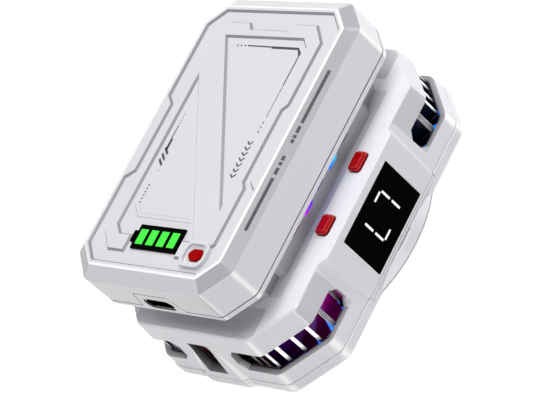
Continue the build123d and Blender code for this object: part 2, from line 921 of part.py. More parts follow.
def rgb_leds():
    outer = dock_mid_half_y - dock_wall_t - slip
    leds = []
    for x, y in corners(guide_half_x, outer - guide_t / 2):
        step = led_len if x > 0 else -led_len
        x0, x1 = sorted((x, x + step))
        leds.append(block(x0, x1, y - guide_t / 2, y + guide_t / 2, z_deck, z_deck + led_h))
    return Compound(children=leds)


def pack_tab_plan(grow=0.0):
    foot = tab_foot_half_y + grow
    head = tab_head_half_y + grow
    face = Polygon((-foot, z_dock), (foot, z_dock), (foot, z_pack_seam), (head, z_pack_seam + tab_h + grow),
                   (-head, z_pack_seam + tab_h + grow), (-foot, z_pack_seam), align=None)
    crown = face.vertices().group_by(Axis.Y)[-1]
    return fillet(crown, tab_round)


def pack_tab(grow=0.0):
    reach = pack_wall_t + 2 * grow
    return push(end_plane(-pack_half_x + pack_wall_t + grow), pack_tab_plan(grow), reach)


usb_z = z_dock + pack_usb_rise


def pack_base():
    body = slab(pack_outline(), z_dock, z_pack_seam - groove_h)
    foot = body.faces().sort_by(Axis.Z)[0].edges()
    body = chamfer(foot, foot_edge)
    body = body + slab(pack_outline(-groove_in), z_pack_seam - 2 * groove_h, z_pack_seam)
    body = body + (pack_tab() & block(-FAR, FAR, -FAR, FAR, z_pack_seam - 1, z_top))
    mouth = SlotOverall(usb_w + 2 * slip, usb_h + 2 * slip)
    port_end = -pack_half_x + usb_setback + usb_len + air
    port = push(end_plane(port_end), Pos(0, usb_z) * mouth, FAR)
    body = body - port
    for x, y in corners(pack_screw_x, pack_screw_y):
        body = body - disc(screw_r + slip, z_dock - 1, z_pack_seam + 1, x, y)
        body = body - disc(screw_head_r + slip, z_dock - 1, z_dock + screw_head_t + flush, x, y)
    for x, y in corners(dock_magnet_x, dock_magnet_y):
        body = body - disc(coin_magnet_r + slip, z_pack_seam - coin_magnet_t - flush, z_pack_seam + 1, x, y)
    for x in contact_places():
        body = body - disc(contact_r + slip, z_dock - 1, z_pack_seam + 1, x, 0)
    for y in (-1, 1):
        post = disc(post_small_r, z_pack_seam - flush, z_pack_board, pack_board_x0 + pack_post_in,
                    y * (pack_board_half_y - pack_post_in))
        body = body + post
    return body


z_pack_board = usb_z + usb_h / 2


def pack_contacts():
    pads = [disc(contact_r, z_dock, z_pack_seam - flush, x, 0) for x in contact_places()]
    return Compound(children=pads)


def pack_magnets():
    low = z_pack_seam - coin_magnet_t - flush
    coins = [disc(coin_magnet_r, low, low + coin_magnet_t, x, y) for x, y in corners(dock_magnet_x, dock_magnet_y)]
    return Compound(children=coins)


def pack_screws():
    screws = []
    for x, y in corners(pack_screw_x, pack_screw_y):
        low = z_dock + flush
        head = screw_head(x, y, low)
        shank = disc(screw_r, low + screw_head_t, z_pack_seam + pack_screw_len, x, y)
        screws.append(head + shank)
    return Compound(children=screws)


def battery_cell():
    size_x = cell_x1 - cell_x0
    face = Pos((cell_x0 + cell_x1) / 2, 0) * RectangleRounded(size_x, 2 * cell_half_y, cell_round)
    return slab(face, z_pack_seam, z_pack_seam + cell_h)


def battery_foam():
    """A pad above the cell and a spacer between it and the end wall."""
    low = z_pack_seam + cell_h
    inset = 2 * cell_round
    half_y = cell_half_y - inset
    z_slope = z_top - 2 * pack_top_t
    pad = block(cell_x0 + inset, cell_x1 - inset, -half_y, half_y, low, z_top - pack_top_t)
    spacer_x1 = pack_half_x - pack_wall_t - spacer_gap
    spacer = block(cell_x1, spacer_x1, -spacer_half_y, spacer_half_y, z_pack_seam, z_slope - spacer_gap)
    return Compound(children=[pad, spacer])


def pack_board():
    return block(pack_board_x0, pack_board_x1, -pack_board_half_y, pack_board_half_y, z_pack_board, z_pack_board + board_t)


def pack_usb_c():
    return Pos(-pack_half_x + usb_setback, 0, usb_z) * usb_socket()


def pack_cover():
    outer_low = pack_outline()
    top_edge = outline(top_half_x, top_half_y, top_cut, 0.0, top_round)
    top_field = outline(top_half_x, top_half_y, top_cut, -rim_w, top_round + rim_w)
    z_rim = z_top - rim_drop
    body = slab(outer_low, z_pack_seam, z_bevel)
    body = body + taper(outer_low, z_bevel, top_edge, z_rim)
    body = body + taper(top_edge, z_rim, top_field, z_top)
    z_roof = z_top - pack_top_t
    z_slope = z_roof - pack_top_t
    room = slab(pack_outline(-pack_wall_t), z_pack_seam - 1, z_slope)
    room = room + taper(pack_outline(-pack_wall_t), z_slope, pack_outline(-2 * pack_wall_t), z_roof)
    body = body - room
    z_field = z_top - relief
    plateau = sloped(PLATEAU, z_field, z_top, relief) - sloped(RIGHT_PANEL, z_field, z_top, -relief)
    body = body - sloped(RIM_EDGE, z_field, z_top, -relief) + plateau
    body = body - pack_tab(seam_gap)
    for x, y in corners(pack_screw_x, pack_screw_y):
        body = body + disc(pack_boss_r, z_pack_seam, z_roof, x, y)
        body = body - disc(screw_r + pilot_gap, z_pack_seam - 1, z_pack_seam + pack_screw_len + 1, x, y)
    body = body - slab(gauge_plan(flush), z_top - gauge_t - flush, z_top + 1)
    opening = Pos(gauge_x, gauge_y) * Rectangle(gauge_w - 2 * ledge, gauge_len - 2 * ledge)
    body = body - slab(opening, z_roof - 1, z_top)
    body = body - slab(bezel_plan(flush), z_top - bezel_depth, z_top + 1)
    return body - slab(pack_button_plan(slip), z_roof - 1, z_top)


def gauge_plan(grow=0.0):
    face = Rectangle(gauge_w, gauge_len)
    nub = Pos(0, (gauge_len + gauge_nub_len) / 2) * Rectangle(gauge_nub_w, gauge_nub_len)
    face = face + nub
    if grow > 0:
        face = offset(face, grow, kind=Kind.INTERSECTION)
    return Pos(gauge_x, gauge_y) * face


def bar_places():
    first = -(bar_count - 1) / 2 * bar_pitch
    return [first + i * bar_pitch for i in range(bar_count)]


def gauge_window():
    low = z_top - gauge_t - flush
    body = slab(gauge_plan(), low, low + gauge_t)
    for y in bar_places():
        hole = Pos(gauge_x, y) * Rectangle(bar_len + 2 * segment_slip, bar_w + 2 * segment_slip)
        body = body - slab(hole, low + gauge_t - bar_t, z_top + 1)
    return body


def gauge_bars():
    high = z_top - flush
    bars = []
    for y in bar_places():
        bars.append(slab(Pos(gauge_x, y) * Rectangle(bar_len, bar_w), high - bar_t, high))
    return Compound(children=bars)


def gauge_leds():
    leds = []
    low = z_pack_board + board_t
    for y in bar_places():
        chip = Pos(gauge_x, y) * Rectangle(gauge_led_w, gauge_led_d)
        leds.append(slab(chip, low, low + gauge_led_t))
    return Compound(children=leds)


def pack_button_plan(grow=0.0):
    face = outline(pack_button_half_x, pack_button_half_y, pack_button_cut, grow, pack_button_round)
    return Pos(pack_button_x, pack_button_y) * face


def bezel_plan(grow=0.0):
    face = RectangleRounded(2 * (bezel_half_x + grow), 2 * (bezel_half_y + grow), bezel_round + grow)
    return Pos(pack_button_x, pack_button_y) * face


def button_bezel():
    body = slab(bezel_plan(), z_top - bezel_depth, z_top + bezel_proud)
    body = body - slab(bezel_plan(-bezel_lip), z_top + bezel_proud - bezel_bowl, z_top + 1)
    return body - slab(pack_button_plan(slip), z_top - bezel_depth - 1, z_top + 1)


def pack_button():
    collar_top = z_top - pack_top_t - collar_gap
    body = slab(pack_button_plan(), collar_top, z_top + pack_button_proud)
    body = fillet(body.faces().sort_by(Axis.Z)[-1].edges(), button_edge / 2)
    collar = slab(pack_button_plan(button_collar), collar_top - button_collar_t, collar_top)
    return body + collar


def pack_switch():
    low = z_pack_board + board_t
    half = switch_side / 2
    x = pack_button_x
    y = pack_button_y
    collar_low = z_top - pack_top_t - collar_gap - button_collar_t
    high = collar_low - button_travel - press_gap
    body = block(x - half, x + half, y - half, y + half, low, high - plunger_h)
    return body + disc(plunger_r, high - plunger_h, high, x, y)


PIECES = {
    "upper_housing": upper_housing,
    "base_shell": base_shell,
    "cold_plate": cold_plate,
    "base_pad": base_pad,
    "magnet_segments": magnet_segments,
    "peltier_module": peltier_module,
    "insulation_ring": insulation_ring,
    "heatsink": heatsink,
    "housing_screws": housing_screws,
    "fan_frame": fan_frame,
    "fan_screws": fan_screws,
    "fan_stator": fan_stator,
    "fan_bearing": fan_bearing,
    "fan_shaft": fan_shaft,
    "fan_rotor": fan_rotor,
    "rotor_magnet": rotor_magnet,
    "display_window": display_window,
    "digit_segments_lit": lambda: digit_segments(True),
    "digit_segments_dark": lambda: digit_segments(False),
    "display_module": display_module,
    "deck_button_left": lambda: deck_button(-1),
    "deck_button_right": lambda: deck_button(1),
    "deck_switches": deck_switches,
    "main_board": main_board,
    "usb_c_inlet": usb_c_inlet,
    "inlet_board": inlet_board,
    "dock": dock,
    "dock_screws": dock_screws,
    "dock_magnets": dock_magnets,
    "contact_board": contact_board,
    "dock_contacts": dock_contacts,
    "light_guide_front": lambda: light_guide(-1),
    "light_guide_rear": lambda: light_guide(1),
    "rgb_leds": rgb_leds,
    "pack_base": pack_base,
    "pack_cover": pack_cover,
    "pack_contacts": pack_contacts,
    "pack_magnets": pack_magnets,
    "pack_screws": pack_screws,
    "battery_cell": battery_cell,
    "battery_foam": battery_foam,
    "pack_board": pack_board,
    "pack_usb_c": pack_usb_c,
    "gauge_window": gauge_window,
    "gauge_bars": gauge_bars,
    "gauge_leds": gauge_leds,
    "button_bezel": button_bezel,
    "pack_button": pack_button,
    "pack_switch": pack_switch,
}

for name, make in PIECES.items():
    export_step(make(), f"parts/{name}.step")
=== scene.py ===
import json
import math

import bmesh
import bpy
from mathutils import Matrix, Vector


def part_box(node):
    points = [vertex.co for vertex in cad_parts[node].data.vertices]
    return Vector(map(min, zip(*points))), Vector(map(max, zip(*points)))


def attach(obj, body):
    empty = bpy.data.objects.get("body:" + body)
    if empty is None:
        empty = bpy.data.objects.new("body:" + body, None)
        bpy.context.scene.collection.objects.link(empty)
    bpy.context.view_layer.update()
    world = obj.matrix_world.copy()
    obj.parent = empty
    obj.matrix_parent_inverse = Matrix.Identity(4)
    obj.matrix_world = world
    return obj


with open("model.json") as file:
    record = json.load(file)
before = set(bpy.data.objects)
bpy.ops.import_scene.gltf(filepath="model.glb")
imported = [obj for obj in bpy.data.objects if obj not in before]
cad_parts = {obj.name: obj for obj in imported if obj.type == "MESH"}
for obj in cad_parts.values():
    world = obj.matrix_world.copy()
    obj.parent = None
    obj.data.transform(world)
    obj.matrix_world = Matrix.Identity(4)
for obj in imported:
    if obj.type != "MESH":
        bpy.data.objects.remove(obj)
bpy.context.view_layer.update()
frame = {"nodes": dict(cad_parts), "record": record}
NODES = frame["nodes"]
MM = 0.001


def corners(name):
    """The low and high corners of a node's box at rest, in millimetres."""
    return [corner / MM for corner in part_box(name)]


# Heights and outlines in millimetres. An outline is an octagon with cut corners: half its length in X,
# half its length in Y, and |x| + |y| on a cut corner
BODY_SEAM = (2.73, 2.89)
PLATE_TOP = 6.4
VENT_LOW, VENT_HIGH = 6.5, 13.0
DECK_TOP = corners("upper_housing")[1].z
PACK_SEAM, PACK_TOP = [corner.z for corner in corners("pack_cover")]
TAB_TOP = corners("pack_base")[1].z
DECK_OUTLINE = (36.9, 26.9, 54.7)
PACK_OUTLINE = (36.5, 24.9, 55.0)
BAR_ENDS = [corner.x for corner in corners("light_guide_front")]
# More than the object's size, for boxes that take in all of it in one direction
FAR = 99


# Shader helpers

def linear(code):
    """An sRGB hex colour as the linear RGBA that a socket takes."""
    parts = [int(code[i:i + 2], 16) / 255 for i in (1, 3, 5)]
    return [c / 12.92 if c <= 0.04045 else ((c + 0.055) / 1.055) ** 2.4 for c in parts] + [1.0]


def output(source):
    """A node's first output, or an output itself."""
    return source.outputs[0] if isinstance(source, bpy.types.Node) else source


def add(tree, kind, values=None, links=None):
    """Adds one node, with its settings and socket values, and joins other nodes' outputs to its inputs. A
    node stands for its first output."""
    node = tree.nodes.new("ShaderNode" + kind)
    for key, value in (values or {}).items():
        if isinstance(key, int) or key in node.inputs:
            node.inputs[key].default_value = value
        else:
            setattr(node, key, value)
    for key, source in (links or {}).items():
        tree.links.new(output(source), node.inputs[key])
    return node


def join(tree, node, **outputs):
    """Joins outputs to the sockets of a node, whose names are written with _ for a space."""
    for name, source in outputs.items():
        tree.links.new(output(source), node.inputs[name.replace("_", " ")])


def find(tree, kind):
    """The first node of a kind in a tree."""
    return next(node for node in tree.nodes if node.type == kind)


def blank(name, **sockets):
    """A material with one Principled shader, whose fixed values are set on its own sockets."""
    material = bpy.data.materials.new(name)
    material.use_nodes = True
    tree = material.node_tree
    tree.nodes.clear()
    shader = add(tree, "BsdfPrincipled", {k.replace("_", " "): v for k, v in sockets.items()})
    add(tree, "OutputMaterial", None, {"Surface": shader})
    return material, tree, shader


def in_millimetres(tree, stretch=(1, 1, 1)):
    """The place on the object in millimetres, stretched for grain that runs one way."""
    coords = add(tree, "TexCoord")
    size = [s / MM for s in stretch]
    return add(tree, "Mapping", {"Scale": size}, {"Vector": coords.outputs["Object"]})


def soft_edges(tree, radius):
    """Edges that look rounded by radius millimetres, and a mask that is 1 on them."""
    bevel = add(tree, "Bevel", {"samples": 6, "Radius": radius * MM})
    flat = add(tree, "NewGeometry")
    dot = add(tree, "VectorMath", {"operation": "DOT_PRODUCT"}, {0: bevel, 1: flat.outputs["Normal"]})
    mask = add(tree, "MapRange", {"From Min": 1.0, "From Max": 0.93}, {"Value": dot.outputs["Value"]})
    return bevel, mask


def inside_box(tree, spot, low, high):
    """1 between two corners in millimetres, 0 elsewhere."""
    above = add(tree, "VectorMath", {"operation": "SUBTRACT", 1: low}, {0: spot})
    below = add(tree, "VectorMath", {"operation": "SUBTRACT", 0: high}, {1: spot})
    least = add(tree, "VectorMath", {"operation": "MINIMUM"}, {0: above, 1: below})
    split = add(tree, "SeparateXYZ", None, {0: least})
    pair = add(tree, "Math", {"operation": "MINIMUM"}, {0: split.outputs[0], 1: split.outputs[1]})
    every = add(tree, "Math", {"operation": "MINIMUM"}, {0: pair, 1: split.outputs[2]})
    return add(tree, "Math", {"operation": "GREATER_THAN", 1: 0.0}, {0: every})


def level(bottom, top):
    """The two corners of a box that takes in all of the object between two heights."""
    return (-FAR, -FAR, bottom), (FAR, FAR, top)


def sizes(tree, spot):
    """|x|, |y| and z of a place."""
    split = add(tree, "SeparateXYZ", None, {0: spot})
    ax = add(tree, "Math", {"operation": "ABSOLUTE"}, {0: split.outputs[0]})
    ay = add(tree, "Math", {"operation": "ABSOLUTE"}, {0: split.outputs[1]})
    return ax, ay, split.outputs[2]


def depth_in_octagon(tree, spot, outline):
    """How far in from an upright octagon with cut corners, in millimetres."""
    half_x, half_y, diagonal = outline
    ax, ay = sizes(tree, spot)[:2]
    from_x = add(tree, "Math", {"operation": "SUBTRACT", 0: half_x}, {1: ax})
    from_y = add(tree, "Math", {"operation": "SUBTRACT", 0: half_y}, {1: ay})
    both = add(tree, "Math", {"operation": "ADD"}, {0: ax, 1: ay})
    from_cut = add(tree, "Math", {"operation": "MULTIPLY_ADD", 1: -0.7071, 2: 0.7071 * diagonal}, {0: both})
    straight = add(tree, "Math", {"operation": "MINIMUM"}, {0: from_x, 1: from_y})
    return add(tree, "Math", {"operation": "MINIMUM"}, {0: straight, 1: from_cut})


def signed_turn(tree, spot):
    """The direction round the upright axis, where -X is at 0 and 1, -Y at 0.25, +X at 0.5 and +Y at 0.75."""
    split = add(tree, "SeparateXYZ", None, {0: spot})
    turn = add(tree, "Math", {"operation": "ARCTAN2"}, {0: split.outputs[1], 1: split.outputs[0]})
    return add(tree, "MapRange", {"From Min": -math.pi, "From Max": math.pi}, {"Value": turn})


def paint_ramp(ramp, stops):
    """Sets a colour ramp's stops from pairs of place and sRGB colour."""
    elements = ramp.color_ramp.elements
    while len(elements) > 1:
        elements.remove(elements[-1])
    elements[0].position, elements[0].color = stops[0][0], linear(stops[0][1])
    for position, colour in stops[1:]:
        elements.new(position).color = linear(colour)


# Finishes

def moulded_plastic(name, colour, wear_and_highlight, rough, edge, gloss=0.35):
    """ABS from a polished mould: an even gloss over a faint orange-peel skin, and edges painted brighter as a
    highlight and rubbed smoother by handling."""
    material, tree, shader = blank(name, IOR=1.53, Specular_IOR_Level=gloss)
    spot = in_millimetres(tree)
    normal, edges = soft_edges(tree, edge)
    # Orange peel has waves of about a millimetre
    peel = add(tree, "TexNoise", {"Scale": 1.1, "Detail": 2.0}, {"Vector": spot}).outputs["Fac"]
    # Wiping leaves fine marks about 0.3 mm wide and some millimetres long
    wiped = add(tree, "TexNoise", {"Scale": 3.0, "Detail": 3.0},
                {"Vector": in_millimetres(tree, (0.12, 1, 1))}).outputs["Fac"]
    # The edges are painted brighter as a highlight
    edge_highlight = add(tree, "Math", {"operation": "MULTIPLY", 1: 0.8}, {0: edges})
    shade = add(tree, "Mix", {"data_type": "RGBA", 6: linear(colour), 7: linear(wear_and_highlight)}, {0: edge_highlight})
    even = add(tree, "MapRange", {"From Min": 0.25, "From Max": 0.75, "To Min": rough - 0.003,
                                  "To Max": rough + 0.003}, {"Value": wiped})
    smooth = add(tree, "Math", {"operation": "MULTIPLY_ADD", 1: -0.08}, {0: edges, 2: even})
    bump = add(tree, "Bump", {"Distance": 0.0005 * MM}, {"Height": peel, "Normal": normal})
    join(tree, shader, Base_Color=shade.outputs[2], Roughness=smooth, Normal=bump)
    return material


def shaded_where(material, mask_of, colour, share):
    """Mixes another colour into a finish where mask_of(tree, spot) is 1."""
    tree = material.node_tree
    shader = find(tree, "BSDF_PRINCIPLED")
    before = shader.inputs["Base Color"].links[0].from_socket
    mask = mask_of(tree, in_millimetres(tree))
    part = add(tree, "Math", {"operation": "MULTIPLY", 1: share}, {0: mask})
    mix = add(tree, "Mix", {"data_type": "RGBA", 7: linear(colour)}, {0: part, 6: before})
    join(tree, shader, Base_Color=mix.outputs[2])


def smoked_acrylic(name, rough, gloss):
    """Cast acrylic, dyed black: nearly no light comes back but a hard gloss with hair-fine scratches."""
    material, tree, shader = blank(name, IOR=1.49, Specular_IOR_Level=gloss)
    # Scratches are 0.01 mm wide, and are drawn at 0.2 mm so that they show
    scratches = add(tree, "TexNoise", {"Scale": 2.0, "Detail": 4.0, "Roughness": 0.7},
                    {"Vector": in_millimetres(tree, (0.2, 2.5, 1))}).outputs["Fac"]
    shade = add(tree, "Mix", {"data_type": "RGBA", 6: linear("#010101"), 7: linear("#030304")},
                {0: scratches})
    wear = add(tree, "MapRange", {"From Min": 0.3, "From Max": 0.7, "To Min": rough, "To Max": rough + 0.08},
               {"Value": scratches})
    join(tree, shader, Base_Color=shade.outputs[2], Roughness=wear)
    return material


def lit_diffuser(name, colour, shade, strength):
    """Milky polycarbonate over a lamp: an even glow, weaker in patches as large as the chips below."""
    material, tree, shader = blank(name, Roughness=0.4, Base_Color=linear("#060606"), IOR=1.58,
                                   Specular_IOR_Level=0.05, Emission_Strength=strength)
    patches = add(tree, "TexNoise", {"Scale": 0.8, "Detail": 1.0}, {"Vector": in_millimetres(tree)})
    mix = add(tree, "Mix", {"data_type": "RGBA", 6: linear(colour), 7: linear(shade)},
              {0: patches.outputs["Fac"]})
    join(tree, shader, Emission_Color=mix.outputs[2])
    return material


def light_bar(name, ends, stops, strength):
    """Milky polycarbonate bar lit from its ends by lamps of different colours, which blend along X."""
    material, tree, shader = blank(name, Roughness=0.35, Base_Color=linear("#060608"), IOR=1.58,
                                   Specular_IOR_Level=0.02, Emission_Strength=strength)
    split = add(tree, "SeparateXYZ", None, {0: in_millimetres(tree)})
    along = add(tree, "MapRange", {"From Min": ends[0], "From Max": ends[1]}, {"Value": split.outputs[0]})
    ramp = add(tree, "ValToRGB", None, {"Fac": along})
    paint_ramp(ramp, stops)
    join(tree, shader, Emission_Color=ramp)
    return material


def painted_bar_glow(material, ends, inner, outer, bottom, top, stops):
    """Paints a glow in the colours of a bar on a wall that is no lamp, in its thickness between two distances
    from the middle in Y, and darkens the base colour there.
    """
    tree = material.node_tree
    shader = find(tree, "BSDF_PRINCIPLED")
    low, high = ends
    spot = in_millimetres(tree)
    split = add(tree, "SeparateXYZ", None, {0: spot})
    along = add(tree, "MapRange", {"From Min": low, "From Max": high}, {"Value": split.outputs[0]})
    ramp = add(tree, "ValToRGB", None, {"Fac": along})
    paint_ramp(ramp, stops)
    front = inside_box(tree, spot, (low, -outer, bottom), (high, -inner, top))
    rear = inside_box(tree, spot, (low, inner, bottom), (high, outer, top))
    lit = add(tree, "Math", {"operation": "ADD"}, {0: front, 1: rear})
    before = shader.inputs["Base Color"].links[0].from_socket
    dark = add(tree, "Mix", {"data_type": "RGBA", 7: linear("#08080a")}, {0: lit, 6: before})
    join(tree, shader, Base_Color=dark.outputs[2], Emission_Color=ramp, Emission_Strength=lit)


def socket_metal(name, colour, dark, glow, inside, glow_from):
    """Nickel-plated shell of a socket, painted dark inside its mouth as shade, which is given as a box in
    millimetres.
    The mouth also gets a painted glow of the colour glow, which grows between the heights glow_from.
    """
    material, tree, shader = blank(name, Metallic=1.0, Roughness=0.25, Emission_Color=linear(glow))
    spot = in_millimetres(tree)
    # Drawing lines are 0.05 mm apart, and are drawn at 0.4 mm so that they show
    lines = add(tree, "TexNoise", {"Scale": 2.5, "Detail": 2.0}, {"Vector": spot}).outputs["Fac"]
    mouth = inside_box(tree, spot, *inside)
    clean = add(tree, "Mix", {"data_type": "RGBA", 6: linear(colour), 7: linear("#a8a8ae")}, {0: lines})
    shade = add(tree, "Mix", {"data_type": "RGBA", 7: linear(dark)}, {0: mouth, 6: clean.outputs[2]})
    split = add(tree, "SeparateXYZ", None, {0: spot})
    high = add(tree, "MapRange", {"From Min": glow_from[0], "From Max": glow_from[1]},
               {"Value": split.outputs[2]})
    power = add(tree, "Math", {"operation": "MULTIPLY"}, {0: mouth, 1: high})
    bump = add(tree, "Bump", {"Distance": 0.003 * MM}, {"Height": lines})
    join(tree, shader, Emission_Strength=power, Base_Color=shade.outputs[2], Normal=bump)
    return material


def plated_metal(name, colour, dull, rough, stretch):
    """Bright plating over a drawn or cut part: the cutter's fine lines show, and its edges catch the light."""
    material, tree, shader = blank(name, Metallic=1.0)
    # Cutter lines are 0.05 mm apart, and are drawn at 0.5 mm so that they show
    lines = add(tree, "TexNoise", {"Scale": 2.0, "Detail": 4.0, "Roughness": 0.6},
                {"Vector": in_millimetres(tree, stretch)}).outputs["Fac"]
    normal = soft_edges(tree, 0.1)[0]
    shade = add(tree, "Mix", {"data_type": "RGBA", 6: linear(colour), 7: linear(dull)}, {0: lines})
    wear = add(tree, "MapRange", {"From Min": 0.3, "From Max": 0.7, "To Min": rough, "To Max": rough + 0.12},
               {"Value": lines})
    bump = add(tree, "Bump", {"Distance": 0.004 * MM}, {"Height": lines, "Normal": normal})
    join(tree, shader, Base_Color=shade.outputs[2], Roughness=wear, Normal=bump)
    return material


def turned_metal(name, colour, dull, rough):
    """Aluminium faced on a lathe: fine rings about the middle that spread each highlight into a bow."""
    material, tree, shader = blank(name, Metallic=1.0)
    spot = in_millimetres(tree)
    # Feed marks are 0.1 mm apart, and are drawn at 0.35 mm so that they show
    rings = add(tree, "TexWave", {"wave_type": "RINGS", "rings_direction": "Z", "Scale": 0.9,
                                  "Distortion": 0.3, "Detail": 2.0}, {"Vector": spot}).outputs["Fac"]
    stains = add(tree, "TexNoise", {"Scale": 0.17}, {"Vector": spot}).outputs["Fac"]
    shade = add(tree, "Mix", {"data_type": "RGBA", 6: linear(colour), 7: linear(dull)}, {0: stains})
    wear = add(tree, "MapRange", {"To Min": rough, "To Max": rough + 0.12}, {"Value": rings})
    bump = add(tree, "Bump", {"Distance": 0.01 * MM}, {"Height": rings})
    join(tree, shader, Base_Color=shade.outputs[2], Roughness=wear, Normal=bump)
    return material


def fin_ends(tree, ax, ay, z, depth, outline, plate_z):
    """Three masks: the sawn ends of all fins, those that face Y and those that face X."""
    half_x, half_y = outline[:2]
    # The fins end half a millimetre inside the octagon, and the cut ends are the last 0.2 mm
    outermost = add(tree, "Math", {"operation": "LESS_THAN", 1: 0.7}, {0: depth})
    above = add(tree, "Math", {"operation": "GREATER_THAN", 1: plate_z + 0.05}, {0: z})
    # The end of the fin beside a vent's end is cut square to Y, further in
    leaning = sizes(tree, add(tree, "TexCoord").outputs["Normal"])[1]
    square = add(tree, "Math", {"operation": "GREATER_THAN", 1: 0.97}, {0: leaning})
    shallow = add(tree, "Math", {"operation": "LESS_THAN", 1: 2.6}, {0: depth})
    end_y = add(tree, "Math", {"operation": "MULTIPLY"}, {0: square, 1: shallow})
    ends = add(tree, "Math", {"operation": "MAXIMUM"}, {0: outermost, 1: end_y})
    cut = add(tree, "Math", {"operation": "MULTIPLY"}, {0: ends, 1: above})
    beyond_y = add(tree, "Math", {"operation": "GREATER_THAN", 1: half_y - 0.9}, {0: ay})
    past_y = add(tree, "Math", {"operation": "MAXIMUM"}, {0: beyond_y, 1: end_y})
    past_x = add(tree, "Math", {"operation": "GREATER_THAN", 1: half_x - 0.6}, {0: ax})
    return cut, past_y, past_x


def painted_ring_light(tree, spot, z, depth, plate_z, stops):
    """Painted light of the lit ring above, as emission on the heatsink, brighter inwards and upwards, towards
    the ring.
    """
    # A millimetre of height counts as 1.24 mm of depth, and the light grows over 5 mm
    upwards = 1.24
    start = upwards * plate_z + 3.0
    reach = add(tree, "Math", {"operation": "MULTIPLY_ADD", 1: upwards}, {0: z, 2: depth})
    near = add(tree, "MapRange", {"From Min": start, "From Max": start + 5.0}, {"Value": reach})
    curve = add(tree, "Math", {"operation": "POWER", 1: 2.2}, {0: near})
    fade = add(tree, "Math", {"operation": "MULTIPLY_ADD", 1: 0.88, 2: 0.12}, {0: curve})
    ramp = add(tree, "ValToRGB", None, {"Fac": signed_turn(tree, spot)})
    paint_ramp(ramp, stops)
    return add(tree, "VectorMath", {"operation": "SCALE"}, {0: ramp, "Scale": fade})


def painted_wedges_at_fins(tree, ax, ay, z, plate_z, stops, first, pitch):
    """Wedges of painted blue light on the plate, which start at a fin's foot and grow narrower outwards. The
    fins stand pitch degrees apart, from first degrees off X."""
    turn = add(tree, "Math", {"operation": "ARCTAN2"}, {0: ay, 1: ax})
    degrees = add(tree, "Math", {"operation": "MULTIPLY", 1: 180 / math.pi}, {0: turn})
    past_fin = add(tree, "Math", {"operation": "SUBTRACT", 0: first}, {1: degrees})
    phase = add(tree, "Math", {"operation": "WRAP", 1: pitch, 2: 0.0}, {0: past_fin})
    flat = add(tree, "CombineXYZ", None, {0: ax, 1: ay})
    radius = add(tree, "VectorMath", {"operation": "LENGTH"}, {0: flat}).outputs["Value"]
    # A wedge is 3.6 degrees wide at a radius of 31 mm and 1.5 degrees at 38 mm, and less at the first fin
    width = add(tree, "MapRange", {"From Min": 31.0, "From Max": 38.0, "To Min": 3.6, "To Max": 1.5},
                {"Value": radius})
    less = add(tree, "MapRange", {"From Min": 1.0, "From Max": pitch, "To Min": 0.35}, {"Value": past_fin})
    narrow = add(tree, "Math", {"operation": "MULTIPLY"}, {0: width, 1: less})
    wedge = add(tree, "Math", {"operation": "LESS_THAN"}, {0: phase, 1: narrow})
    on_plate = add(tree, "Math", {"operation": "LESS_THAN", 1: plate_z + 0.05}, {0: z})
    glint = add(tree, "Math", {"operation": "MULTIPLY"}, {0: wedge, 1: on_plate})
    share = add(tree, "Math", {"operation": "DIVIDE", 1: 90.0}, {0: degrees})
    blues = add(tree, "ValToRGB", None, {"Fac": share})
    paint_ramp(blues, stops)
    return add(tree, "VectorMath", {"operation": "SCALE"}, {0: blues, "Scale": glint})


